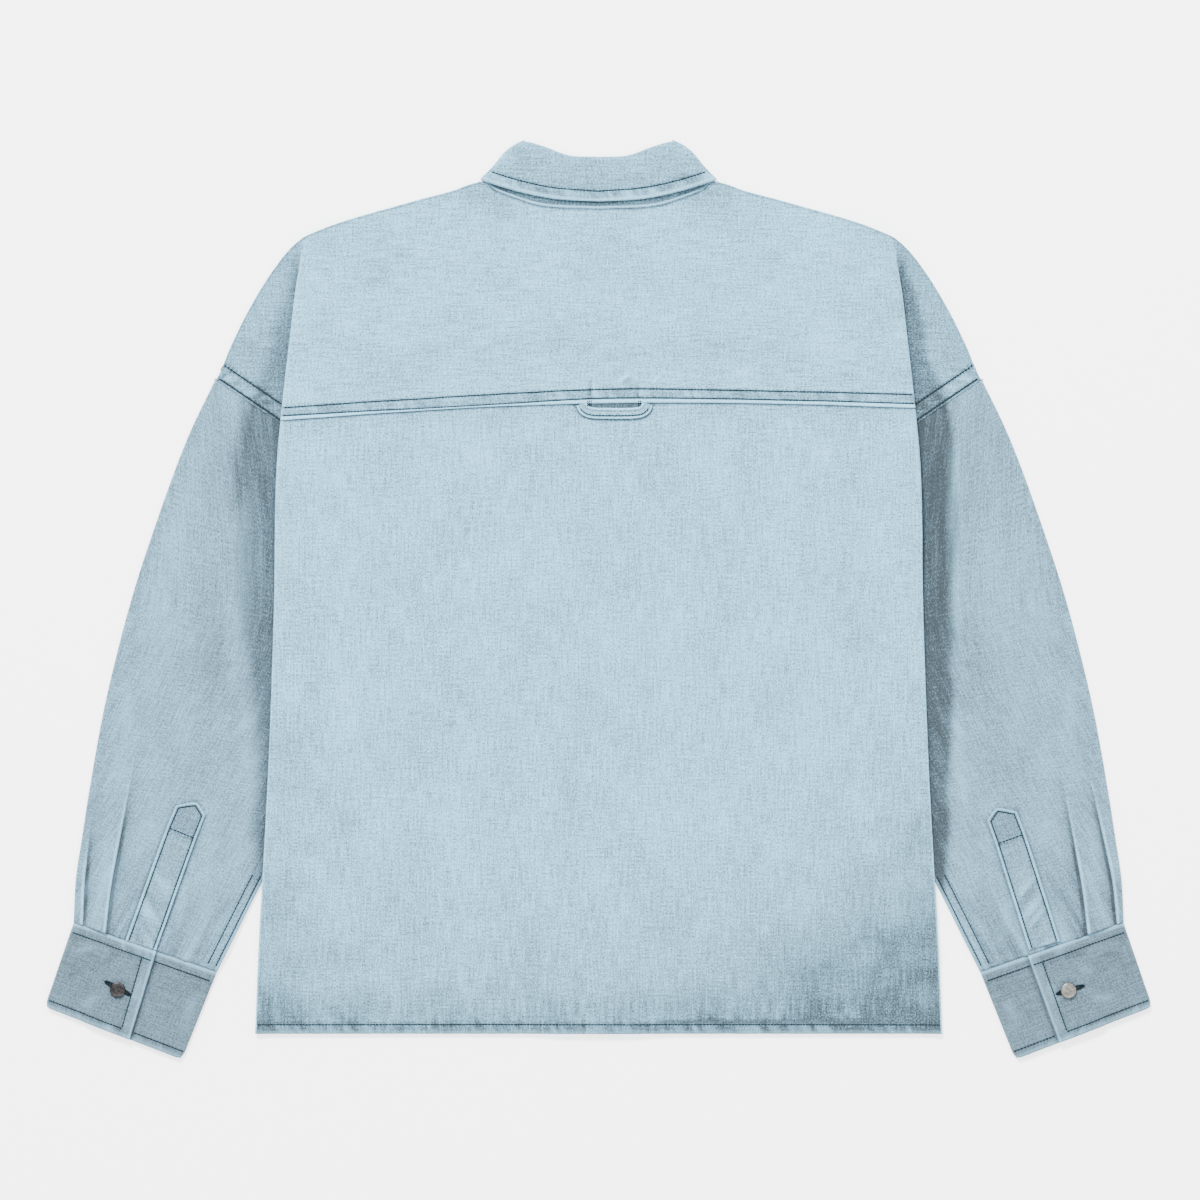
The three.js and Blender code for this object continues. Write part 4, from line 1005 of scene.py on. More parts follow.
def cuff_section(overlap):
    """Path round a cuff: across it, height, and 0 where hidden, 1 beside the lap, 2 on the lap."""
    fold = CUFF_PITCH / 2
    room = (fold + CUFF_CLOTH / 2) / CUFF_WIDTH
    high = CUFF_LOW_Z + CUFF_PITCH
    lap = overlap + CUFF_LAP
    s, z, kind = [], [], []

    def run(s0, z0, s1, z1, count, k):
        s.extend(np.linspace(s0, s1, count))
        z.extend(np.linspace(z0, z1, count))
        kind.extend([k] * count)

    def turn(at, direction, k):
        for degrees in range(15, 166, 15):
            a = math.radians(degrees)
            s.append(at + direction * fold / CUFF_WIDTH * math.sin(a))
            z.append(CUFF_LOW_Z + fold - direction * fold * math.cos(a))
            kind.append(k)

    run(lap, high, overlap, high, 12, 0)
    run(overlap - 0.01, high, room, high, 40, 1)
    turn(room, -1, 1)
    run(room, CUFF_LOW_Z, 1 - room, CUFF_LOW_Z, 50, 0)
    turn(1 - room, 1, 2)
    run(1 - room, high, lap + CUFF_RAMP * 1.1, high, 22, 2)
    run(lap + CUFF_RAMP, high + 0.05, lap + CUFF_RAMP * 0.8, CUFF_LOW_Z + 1.6 * CUFF_PITCH, 3, 2)
    run(lap + CUFF_RAMP * 0.5, CUFF_LOW_Z + 1.85 * CUFF_PITCH, lap, high + CUFF_PITCH, 4, 2)
    run(lap - 0.008, high + CUFF_PITCH, overlap, high + CUFF_PITCH, 34, 2)
    return np.array(s), np.array(z), np.array(kind)


CUFF_CREASES = {
    -1: [
        (-424, -292, -446, -300, 2.4, 1.2), (-404, -296, -420, -312, 3, -1.2),
        (-394, -342, -384, -318, 2.6, 1.3), (-420, -334, -440, -346, 3.4, 1.0),
        (-338, -330, -352, -362, 4.5, 1.0), (-430, -310, -452, -322, 3, -0.9),
    ],
    1: [
        (392, -304, 414, -298, 2.6, -1.3), (404, -310, 420, -316, 2.6, 1.2),
        (380, -322, 388, -344, 3, 1.2), (414, -338, 440, -334, 3.2, 1.1),
        (342, -336, 356, -362, 4.5, 1.0), (424, -300, 446, -302, 3, -0.9),
    ],
}


def make_cuff(side, name):
    down = np.linspace(-0.012, 1, 58)
    rows = [cuff_section(mix(*CUFF_OVERLAP[side], d)) for d in down]
    s, z, kind = (np.array([row[k] for row in rows]) for k in range(3))
    overlap = np.array([mix(*CUFF_OVERLAP[side], d) for d in down])[:, None]
    d = np.broadcast_to(down[:, None], s.shape)
    x, y = cuff_point(s, d)
    across = s * CUFF_ACROSS
    deep = d * CUFF_DEEP
    mid_x, mid_y = cuff_point(0.5, 0.5)
    for corner in (0, CUFF_ACROSS):
        pull = 1.7 * bell(np.hypot(across - corner, deep - CUFF_DEEP), 3.6)
        way = np.hypot(mid_x - x, mid_y - y)
        x, y = x + (mid_x - x) / way * pull, y + (mid_y - y) / way * pull
    seen = kind > 0
    height = 0.35 * bells(deep, (0.8, 77.5), 1.6)
    height -= 0.3 * bells(deep, CUFF_TROUGHS, 0.8)
    height += 0.30 * roping(across, deep - 3.5, 4.5, 71 + side)
    low_puckers = roping(across, deep - 75.5, 4, 73 + side)
    height += 0.26 * low_puckers
    height += 0.3 * noise(across / 24, deep / 17, 75 + side) * ease((deep - 8) / 8)
    from_edge = (s - overlap) * CUFF_ACROSS
    lapped = kind == 2
    lap_height = 0.3 * (bell(from_edge - 0.8, 1.4) - bell(from_edge - 9.6, 0.8))
    lap_height += 0.22 * roping(deep, from_edge - 5, 3.6, 77)
    bx, by = CUFF_BUTTON[side]
    around = np.hypot(x - bx, y - by)
    height += lapped * (lap_height - 0.35 * bell(around, 7))
    worn = creases(CUFF_CREASES[side], side * x, y)
    height += 0.5 * seen * worn
    dome = ease(s / 0.03) * ease((1 - s) / 0.03)
    points = np.stack([side * x, y, z + np.where(seen, height * dome, 0)], -1)
    normals = normals_of(points)
    wear = 0.62 * bell(deep - 0.6, 1.3) + 0.3 * bell(deep - 77.3, 1.6)
    wear += 0.25 * share(roping(across, deep - 3.5, 4, 71 + side))
    wear += 0.3 * share(low_puckers)
    # painted shade in the stitch troughs and the puckers' hollows
    shade = 0.3 * bell(deep - 9.2, 2.2) + 0.25 * bell(deep - 71.6, 1.4)
    shade += 0.2 * share(-low_puckers)
    wear += lapped * (0.45 * bell(from_edge - 0.8, 1.2) + 0.12 * bell(from_edge - 5, 4))
    # painted shade in the lap's stitch trough and painted shadow round the button
    shade += lapped * (0.3 * bell(from_edge - 10.2, 1.2) + 0.35 * bell(around - 6, 3.5))
    # painted shadow on the cloth beside the lap's edge
    shade += 0.7 * (kind == 1) * ease((5 + from_edge) / 5)
    # crease ridges are worn lighter; their troughs get painted shade
    wear += 0.16 * seen * share(worn)
    shade += 0.30 * seen * share(-worn)
    grain = (deep + 7 * kind, across)
    piece = cloth_piece(name + "_cloth", points, normals, CUFF_CLOTH, grain, wear, shade)
    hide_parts(name)
    return piece


def placket_point(side, s, sideways):
    """A place on the sleeve from how far it is down the placket's line and to the left of it."""
    _, ux, uy = direction_of(*SLEEVE_PLACKETS[side])
    tip_x, tip_y = SLEEVE_PLACKETS[side][0]
    return tip_x + ux * s - uy * sideways, tip_y + uy * s + ux * sideways


def make_sleeve_placket(side, name, sleeve_tree):
    length = direction_of(*SLEEVE_PLACKETS[side])[0]
    w = dense(0, 1, 0.014, marks=(0.0,), near=0.03, fine=0.007)
    q = np.linspace(0, 1, 27)
    tip = curve(PLACKET_TIP, q)
    s = mix(tip, length, w[:, None])
    left, right = curve(PLACKET_SIDES, s, 1), curve(PLACKET_SIDES, s, 2)
    sideways = mix(left, right, q)
    x, y = placket_point(side, s, sideways)
    z = drop_all(sleeve_tree, side * x, y, 4.4)
    smooth = z.copy()
    for _ in range(6):
        inner = smooth.copy()
        inner[1:-1] = (smooth[:-2] + smooth[1:-1] + smooth[2:]) / 3
        inner[:, 1:-1] = (inner[:, :-2] + inner[:, 1:-1] + inner[:, 2:]) / 3
        smooth = inner
    z = np.maximum(z + 0.25, smooth + 0.45) + CLOTH / 2
    edge = np.minimum(np.minimum(sideways - left, right - sideways), (s - tip) * 0.9)
    low_half = ease((s / length - 0.35) / 0.3)
    middle = (left + right) / 2
    puckers = roping(s * 0.8, sideways - middle, 11, 81 + side)
    bars = bell(s - 29, 0.9)
    z = z + 0.28 * bell(edge - 0.9, 1.1) - 0.3 * bell(edge - 2.7, 0.7) - 0.3 * bars
    z += (0.10 + 0.34 * low_half) * np.clip(puckers, -0.6, 1)
    points = np.stack([side * x, y, z], -1)
    normals = normals_of(points)
    wear = 0.55 * bell(edge - 0.7, 0.8) + 0.35 * low_half * share(puckers)
    # painted shade in the stitch trough, the puckers' hollows and the bar tack's trough
    shade = 0.45 * bell(edge - 2.9, 0.9) + 0.4 * low_half * share(-puckers) + 0.4 * bars
    shade += 0.25 * ease((28 - s) / 4)
    piece = cloth_piece(name + "_cloth", points, normals, CLOTH, (sideways, s), wear, shade)
    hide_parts(name)
    return piece


# Collar
def collar_half(side, front, back, front_z, back_z, rows, count):
    """Half a collar piece, from the middle of its front round the side to the middle of its back."""
    radius = (back_z - front_z) / 2
    ox, oy = COLLAR_SIDE_OUT
    fold_front, edge_front = front
    fold_back, edge_back = back
    grid = []
    for v in rows:
        def at(fold, edge, q):
            x = mix(curve(fold, q, 1), curve(edge, q, 1), v)
            y = mix(curve(fold, q, 2), curve(edge, q, 2), v)
            return x - ox * COLLAR_SIDE_INSET * q, y - oy * COLLAR_SIDE_INSET * q

        q = np.linspace(0, 1, count)
        fx, fy = at(fold_front, edge_front, q)
        bx, by = at(fold_back, edge_back, q[::-1])
        a = np.radians(np.arange(165, 14, -15))
        reach = radius * np.sin(a)
        x = np.concatenate([fx, bx[0] + ox * reach, bx])
        y = np.concatenate([fy, by[0] + oy * reach, by])
        z = np.concatenate([
            np.full(count, float(front_z)), front_z + radius + radius * np.cos(a),
            np.full(count, float(back_z)),
        ])
        grid.append(np.stack([side * x, y, z], -1))
    return np.array(grid)


def collar_grid(front_of, back, front_z, back_z, rows, count):
    right = collar_half(1, front_of(1), back, front_z, back_z, rows, count)
    left = collar_half(-1, front_of(-1), back, front_z, back_z, rows, count)
    return np.concatenate([left, right[:, ::-1][:, 1:]], axis=1)


def make_collar_leaf():
    rows = np.linspace(0, 1, 34)
    front = (COLLAR_FOLD_FRONT, COLLAR_EDGE_FRONT)
    back = (COLLAR_FOLD_BACK, COLLAR_EDGE_BACK)
    middle = collar_grid(lambda side: front, back, LEAF_FRONT_Z, LEAF_BACK_Z, rows, 70)
    x, y, z = middle[..., 0], middle[..., 1], middle[..., 2]
    ax = np.abs(x)
    from_edge = y - curve(COLLAR_EDGE, np.minimum(ax, COLLAR_EDGE_END))
    upper = z > LEAF_TURN_Z
    belly = 1.1 * np.sin(np.pi * rows)[:, None] * ease((96 - ax) / 20)
    height = belly + 0.35 * bell(from_edge - 1.0, 1.6) - 0.35 * bell(from_edge - LEAF_STITCH, 0.9)
    height = height + 0.34 * roping(x, from_edge - 4.5, 4.2, 91) + 0.10 * roping(x, from_edge - 14, 8, 92)
    height += 0.12 * noise(x / 13, y / 11, 93)
    points = middle.copy()
    bulge = 3.2 * bell(np.hypot(ax - 76, y - 377), 15)
    blunt = 1.2 * bell(np.hypot(ax - 63, y - 388.4), 4.5)
    points[..., 0] += np.sign(x) * COLLAR_SIDE_OUT[0] * bulge
    points[..., 1] += COLLAR_SIDE_OUT[1] * bulge - blunt + 1.3 * bell(np.hypot(ax - 46, y - 383), 15)
    points[..., 2] += np.where(upper, np.maximum(height, -0.25), 0)
    normals = normals_of(points)
    puckers = roping(x, from_edge - 4.5, 3.6, 91)
    wear = np.where(upper, 0.5 * bell(from_edge - 0.8, 1.1) + 0.4 * share(puckers), 0)
    wear += 0.12 * bell(rows[:, None] * 37, 1.8)
    # painted shade in the puckers' hollows and the stitch trough, on a plain darker tone of the collar
    shade = np.where(upper, 0.4 * share(-puckers) + 0.35 * bell(from_edge - LEAF_STITCH, 1.0), 0.1)
    shade = shade + 0.29 + 0.10 * noise(x / 9, y / 3, 94)
    piece = cloth_piece("collar_leaf_cloth", points, normals, DOUBLE_CLOTH, (y, x), wear, shade)
    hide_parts("collar_leaf")
    return piece


def make_collar_stand():
    def seam_line(table, start):
        line = []
        for i, neck_x in enumerate([*NECK_X, STAND_SIDE_X]):
            q = i / len(NECK_X)
            x = start if i == 0 else max(neck_x, start)
            inset = COLLAR_SIDE_INSET * q
            y = float(curve(table, abs(x))) + STAND_CLEAR
            line.append((q, x + inset * COLLAR_SIDE_OUT[0], y + inset * COLLAR_SIDE_OUT[1]))
        return line

    def front_of(side):
        start = STAND_END_X[side]
        fold = [(0, start, COLLAR_FOLD_FRONT[0][2]), *COLLAR_FOLD_FRONT[1:]]
        return fold, seam_line(FRONT_TOP, start)

    back = (COLLAR_FOLD_BACK, seam_line(BACK_TOP, 0))
    rows = np.concatenate([np.linspace(0.08, 0.84, 10), np.linspace(0.86, 1.1, 24)])
    points = collar_grid(front_of, back, STAND_FRONT_Z, STAND_BACK_Z, rows, 60)
    x, y, z = points[..., 0], points[..., 1], points[..., 2]
    ax = np.abs(x)
    upper = z > STAND_TURN_Z
    base = curve(BACK_TOP, np.minimum(ax, 104)) + STAND_CLEAR
    tuck = ease((rows - 0.9) / 0.1)[:, None] * ease((101 - ax) / 8)
    points[..., 2] -= np.where(upper, 1.3 * tuck, 0)
    normals = normals_of(points)
    wear = np.where(upper, 0.8 * bell(y - base + 0.1, 0.7), 0)
    # painted shadow under the leaf's edge, on a plain darker tone of the stand
    under_leaf = bell(y - curve(COLLAR_EDGE, np.minimum(ax, COLLAR_EDGE_END)) + 0.5, 1.1)
    shade = np.where(upper, 0.6 + 0.1 * ease((ax - 55) / 30) + 0.4 * under_leaf, 0.15)
    piece = cloth_piece("collar_stand_cloth", points, normals, CLOTH, (y, x), wear, shade)
    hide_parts("collar_stand")
    return piece


def make_hanger_loop(body_tree):
    px, py, t = loop_line(0, 70)
    tangent = unit(np.stack([np.gradient(px), np.gradient(py)], -1))
    q = np.linspace(0.5, -0.5, 13)
    x = px[:, None] - tangent[:, 1:2] * q * LOOP_WIDTH
    y = py[:, None] + tangent[:, 0:1] * q * LOOP_WIDTH
    y = np.minimum(y, curve(YOKE_SEAM, x) - 0.1)
    ax = np.abs(x)
    z = REST_MIDDLE + lift(ax, y) + HALF_PITCH + body_puff(ax, y) + LAYER_PITCH
    z = np.maximum(z, drop_all(body_tree, x, y, 6) + CLOTH / 2 + 0.3)
    out = (0.5 - np.abs(q)) * LOOP_WIDTH
    z += 0.3 * bell(out - 0.6, 0.9)[None] * (q > 0)
    points = np.stack([x, y, z], -1)
    normals = normals_of(points)
    wear = np.tile(0.55 * bell(out - 0.5, 0.8), (len(t), 1)) + 0.05
    # painted shade in the loop's stitch trough
    shade = np.tile(0.12 + 0.5 * bell(out - 2.3, 0.7), (len(t), 1))
    grain = (np.tile(q * LOOP_WIDTH, (len(t), 1)), np.tile(t[:, None] * 10, (1, len(q))))
    piece = cloth_piece("hanger_loop_cloth", points, normals, CLOTH, grain, wear, shade)
    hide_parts("hanger_loop")
    return piece


# Finding the cloth under a point
def tree_of(*objects):
    """Search tree in millimetres over the faces of some pieces."""
    verts, faces = [], []
    for piece in objects:
        start = len(verts)
        verts += [v.co / MM for v in piece.data.vertices]
        faces += [[start + i for i in p.vertices] for p in piece.data.polygons]
    return BVHTree.FromPolygons(verts, faces)


def drop_all(tree, x, y, missing, down=True):
    """Height of the cloth at each place, seen from above or from below."""
    flat = []
    start, way = (60, -1) if down else (-60, 1)
    for px, py in zip(np.ravel(x), np.ravel(y)):
        hit = tree.ray_cast(Vector((px, py, start)), Vector((0, 0, way)))
        flat.append(missing if hit[0] is None else hit[0].z)
    return np.array(flat).reshape(np.shape(x))


def plain_mesh(name, co, faces, material):
    mesh = bpy.data.meshes.new(name)
    mesh.from_pydata([tuple(p * MM) for p in co], [], faces)
    mesh.polygons.foreach_set("use_smooth", np.ones(len(faces), bool))
    mesh.update()
    mesh.materials.append(material)
    return add_piece(name, mesh)


def ring_faces(start, rings, sides, closed=False):
    """Quads between rings of points, and from the last ring to the first if closed."""
    faces = []
    for k in range(rings if closed else rings - 1):
        here = start + k * sides
        there = start + (k + 1) % rings * sides
        for a in range(sides):
            b = (a + 1) % sides
            faces.append((here + a, here + b, there + b, there + a))
    return faces


def resample(line, pitch):
    """Points at even steps along a line, with the direction at each."""
    line = np.array(line, float)
    steps = np.hypot(*np.diff(line, axis=0).T)
    total = np.concatenate([[0], np.cumsum(steps)])
    count = max(int(total[-1] / pitch), 1)
    at = (np.arange(count) + 0.5) * total[-1] / count
    x = np.interp(at, total, line[:, 0])
    y = np.interp(at, total, line[:, 1])
    i = np.clip(np.searchsorted(total, at) - 1, 0, len(steps) - 1)
    return np.stack([x, y], -1), np.diff(line, axis=0)[i] / steps[i][:, None]


THREAD_SIDES = 6
# Rings of one stitch: place along it and radius, both as shares of its own, and height in mm
THREAD_PROFILE = [(-0.5, 0.45, 0), (-0.38, 0.95, 0.22), (0, 1, 0.32), (0.38, 0.95, 0.22), (0.5, 0.45, 0)]


def stitches(name, lines, tree, down=True, radius=STITCH_RADIUS, pitch=STITCH_PITCH):
    """Short rounded threads along lines, lying in the cloth."""
    co, faces = [], []
    way = 1 if down else -1
    for k, line in enumerate(lines):
        points, along = resample(line, pitch)
        jitter = noise(np.arange(len(points)) * 1.7, k * 3.1, 3)
        for (x, y), (ux, uy), j in zip(points, along, jitter):
            ends = [(x + ux * t * pitch, y + uy * t * pitch) for t in (-0.4, 0, 0.4)]
            heights = drop_all(tree, *zip(*ends), np.nan, down)
            if np.isnan(heights).any():
                continue
            start = len(co)
            turn = 0.10 * j
            dx, dy = ux - uy * turn, uy + ux * turn
            for t, r, rise in THREAD_PROFILE:
                cx, cy = x + dx * t * pitch * 0.96, y + dy * t * pitch * 0.96
                cz = np.interp(t, (-0.4, 0, 0.4), heights) + way * rise
                for a in range(THREAD_SIDES):
                    angle = 2 * math.pi * a / THREAD_SIDES
                    side_way = radius * r * math.cos(angle)
                    co.append(np.array([
                        cx - dy * side_way, cy + dx * side_way, cz + radius * r * math.sin(angle)
                    ]))
            faces += ring_faces(start, len(THREAD_PROFILE), THREAD_SIDES)
            faces.append(tuple(reversed(range(start, start + THREAD_SIDES))))
            faces.append(tuple(range(len(co) - THREAD_SIDES, len(co))))
    return plain_mesh(name, co, faces, THREAD)


def shifted(line, distance):
    """A line moved sideways."""
    line = np.array(line, float)
    direction = unit(np.gradient(line, axis=0))
    return line + np.stack([-direction[:, 1], direction[:, 0]], -1) * distance


def table_line(table, start, end, raised=0.0):
    """Line along a table's curve; where the table gives the right half, the left is its mirror."""
    x = np.linspace(start, end, 60)
    at = x if table[0][0] < 0 else np.abs(x)
    return np.stack([x, curve(table, at) + raised], -1)


# Materials
def new_material(name):
    material = bpy.data.materials.new(name)
    material.use_nodes = True
    nodes = material.node_tree.nodes
    nodes.clear()
    output = nodes.new("ShaderNodeOutputMaterial")
    shader = nodes.new("ShaderNodeBsdfPrincipled")
    material.node_tree.links.new(shader.outputs[0], output.inputs[0])
    return material, nodes, material.node_tree.links, shader


def set_inputs(node, values):
    for key, value in values.items():
        node.inputs[key].default_value = value
    return node


def denim(name, light, dark, worn, deep):
    """Washed denim: white weft and indigo warp as salt and pepper along the grain."""
    material, nodes, links, shader = new_material(name)

    def math_node(operation, a, b):
        made = nodes.new("ShaderNodeMath")
        made.operation = operation
        for i, value in enumerate((a, b)):
            if isinstance(value, (int, float)):
                made.inputs[i].default_value = value
            else:
                links.new(value, made.inputs[i])
        return made.outputs[0]

    def centred(value, gain):
        return math_node("MULTIPLY", math_node("SUBTRACT", value, 0.5), gain)

    def blend(factor, a, b):
        made = nodes.new("ShaderNodeMix")
        made.data_type = "RGBA"
        links.new(factor, made.inputs[0])
        for socket, value in ((made.inputs[6], a), (made.inputs[7], b)):
            if isinstance(value, tuple):
                socket.default_value = value
            else:
                links.new(value, socket)
        return made.outputs[2]

    grain = nodes.new("ShaderNodeUVMap")
    grain.uv_map = "grain"

    def scaled(x, y, turn=0.0):
        mapping = set_inputs(nodes.new("ShaderNodeMapping"), {"Scale": (x, y, 1), "Rotation": (0, 0, turn)})
        links.new(grain.outputs[0], mapping.inputs[0])
        return mapping.outputs[0]

    def noise_node(vector, detail, rough):
        made = nodes.new("ShaderNodeTexNoise")
        set_inputs(made, {"Scale": 1.0, "Detail": detail, "Roughness": rough})
        links.new(vector, made.inputs["Vector"])
        return made.outputs[0]

    pepper = noise_node(scaled(0.85, 0.62), 2.0, 0.7)
    slub = noise_node(scaled(0.62, 0.045), 4.0, 0.65)
    cross = noise_node(scaled(0.06, 0.6), 2.0, 0.5)
    patch = noise_node(scaled(0.022, 0.014), 3.0, 0.55)
    twill_wave = nodes.new("ShaderNodeTexWave")
    set_inputs(twill_wave, {"Scale": 1.0, "Distortion": 0.6, "Detail": 1.0})
    links.new(scaled(0.36, 0.36, math.radians(28)), twill_wave.inputs["Vector"])
    weave = centred(twill_wave.outputs[1], 0.42)
    tone = centred(pepper, 2.3)
    for term in (centred(slub, 1.2), centred(cross, 0.6), centred(patch, 0.42), weave, 0.46):
        tone = math_node("ADD", tone, term)
    clamp = nodes.new("ShaderNodeClamp")
    links.new(tone, clamp.inputs[0])
    color = blend(clamp.outputs[0], dark, light)
    # The shade attribute darkens the cloth towards the deep colour. Mostly this is painted shade in troughs
    # and hollows and beside and under edges, on a plain darker tone in places. The wear attribute lightens
    # worn ridges towards the worn colour.
    wear, shade = (nodes.new("ShaderNodeAttribute") for _ in range(2))
    wear.attribute_name, shade.attribute_name = "wear", "shade"
    light_keeps = math_node("SUBTRACT", 1.3, math_node("MULTIPLY", clamp.outputs[0], 0.55))
    color = blend(math_node("MULTIPLY", shade.outputs[2], light_keeps), color, deep)
    color = blend(math_node("MULTIPLY", wear.outputs[2], 0.85), color, worn)
    links.new(color, shader.inputs["Base Color"])
    set_inputs(shader, {
        "Roughness": 0.92, "Specular IOR Level": 0.18, "Sheen Weight": 0.12, "Sheen Roughness": 0.6,
    })
    bump = set_inputs(nodes.new("ShaderNodeBump"), {"Strength": 0.35, "Distance": 0.35 * MM})
    links.new(math_node("ADD", clamp.outputs[0], weave), bump.inputs["Height"])
    links.new(bump.outputs[0], shader.inputs["Normal"])
    return material


def speckled_material(name, dark, light, scale, detail, ends):
    """Small spots of two tones, with the noise that makes them."""
    material, nodes, links, shader = new_material(name)
    coord = nodes.new("ShaderNodeTexCoord")
    spots = set_inputs(nodes.new("ShaderNodeTexNoise"), {"Scale": scale, "Detail": detail})
    links.new(coord.outputs["Object"], spots.inputs["Vector"])
    ramp = nodes.new("ShaderNodeValToRGB")
    for stop, position, tone in zip(ramp.color_ramp.elements, ends, (dark, light)):
        stop.position = position
        stop.color = tone
    links.new(spots.outputs[0], ramp.inputs[0])
    links.new(ramp.outputs[0], shader.inputs["Base Color"])
    return material, nodes, links, shader, spots.outputs[0]


def thread_material(name, dark, light):
    material, _, _, shader, _ = speckled_material(name, dark, light, 900, 2, (0, 1))
    set_inputs(shader, {"Roughness": 0.9, "Specular IOR Level": 0.08})
    return material


def metal_material(name, light, dark):
    material, nodes, links, shader, spots = speckled_material(name, dark, light, 420, 4, (0.3, 0.7))
    rough = set_inputs(nodes.new("ShaderNodeMapRange"), {"To Min": 0.34, "To Max": 0.52})
    links.new(spots, rough.inputs["Value"])
    links.new(rough.outputs[0], shader.inputs["Roughness"])
    shader.inputs["Metallic"].default_value = 1.0
    bump = set_inputs(nodes.new("ShaderNodeBump"), {"Strength": 0.15, "Distance": 0.2 * MM})
    links.new(spots, bump.inputs["Height"])
    links.new(bump.outputs[0], shader.inputs["Normal"])
    return material


# Base colours are linear reflectances
DENIM_BODY = denim(
    "denim_body", (0.235, 0.53, 0.72, 1), (0.058, 0.105, 0.142, 1), (0.29, 0.63, 0.86, 1),
    (0.018, 0.027, 0.033, 1),
)
DENIM_SLEEVE = denim(
    "denim_sleeve", (0.157, 0.315, 0.43, 1), (0.038, 0.061, 0.078, 1), (0.26, 0.57, 0.77, 1),
    (0.016, 0.024, 0.030, 1),
)
DENIM_TRIM = denim(
    "denim_trim", (0.100, 0.176, 0.233, 1), (0.026, 0.038, 0.048, 1), (0.20, 0.42, 0.57, 1),
    (0.015, 0.022, 0.028, 1),
)
THREAD = thread_material("stitch_thread", (0.004, 0.0085, 0.011, 1), (0.011, 0.021, 0.027, 1))
BUTTONHOLE_THREAD = thread_material(
    "buttonhole_thread", (0.0015, 0.0035, 0.0045, 1), (0.006, 0.011, 0.014, 1)
)
# a darker copy of the button metal for the left cuff button: painted darker reflection
METAL_DARK_REFLECTION = metal_material("button_metal_dark_reflection", (0.056, 0.053, 0.053, 1), (0.014, 0.0135, 0.014, 1))
METAL_LIGHT = metal_material("button_metal_light", (0.24, 0.23, 0.207, 1), (0.085, 0.082, 0.077, 1))

yoke = make_yoke()
panel = make_back_panel()
fronts = [make_front(side, "front_" + word) for side, word in SIDES]
front_placket = make_front_placket()
sleeves = {side: make_sleeve(side, "sleeve_" + word) for side, word in SIDES}
cuffs = {side: make_cuff(side, "cuff_" + word) for side, word in SIDES}
plackets = {
    side: make_sleeve_placket(side, f"sleeve_placket_{word}", tree_of(sleeves[side]))
    for side, word in SIDES
}
leaf = make_collar_leaf()
stand = make_collar_stand()
body_tree = tree_of(yoke, panel)
loop = make_hanger_loop(body_tree)
for piece in (yoke, panel, *fronts, leaf, stand, loop):
    piece.data.materials.append(DENIM_BODY)
for piece in (*sleeves.values(), *plackets.values()):
    piece.data.materials.append(DENIM_SLEEVE)
for piece in (*cuffs.values(), front_placket):
    piece.data.materials.append(DENIM_TRIM)


# Buttons: a flat shank button with a rounded, slightly raised rim
BUTTON_PROFILE = [
    (0, 0), (3.2, 0), (3.6, 0.28), (5.4, 0.32), (6.2, 0.5), (6.6, 0.85), (6.6, 1.15),
    (6.35, 1.5), (5.9, 1.78), (5.4, 1.86), (5.0, 1.78), (4.7, 1.7), (2.4, 1.76), (0, 1.8),
]
BUTTON_SIDES = 48


def make_button(node, x, y, low_z=0, height=BUTTON_HEIGHT, material=METAL_LIGHT, facing_up=False):
    scale = height / BUTTON_HEIGHT
    co = []
    for r, z in BUTTON_PROFILE:
        z = z * scale if facing_up else (BUTTON_HEIGHT - z) * scale
        for a in range(BUTTON_SIDES):
            angle = 2 * math.pi * a / BUTTON_SIDES
            co.append(np.array([x + r * math.cos(angle), y + r * math.sin(angle), low_z + z]))
    faces = ring_faces(0, len(BUTTON_PROFILE), BUTTON_SIDES)
    if not facing_up:
        faces = [face[::-1] for face in faces]
    piece = plain_mesh(node + "_metal", co, faces, material)
    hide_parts(node)
    weld(piece)


def weld(piece):
    """Merges the points that meet on the axis of a turned piece."""
    bm = bmesh.new()
    bm.from_mesh(piece.data)
    bmesh.ops.remove_doubles(bm, verts=bm.verts, dist=1e-7)
    bm.to_mesh(piece.data)
    bm.free()


for (side, word), metal in zip(SIDES, (METAL_DARK_REFLECTION, METAL_LIGHT)):
    x, y = CUFF_BUTTON[side]
    make_button("cuff_button_" + word, side * x, y, CUFF_BUTTON_Z, material=metal, facing_up=True)
for i in range(FRONT_BUTTONS):
    make_button(f"front_button_{i + 1}", 0, FRONT_BUTTON_TOP_Y - i * FRONT_BUTTON_STEP)
make_button("stand_button", 0, STAND_BUTTON_Y, height=STAND_BUTTON_HEIGHT)


# Keyhole buttonhole: a bead of thread around a slit
BUTTONHOLES = {-1: ((-416.5, -322.3), (-395.0, -333.8)), 1: ((386.4, -332.9), (409.6, -325.8))}


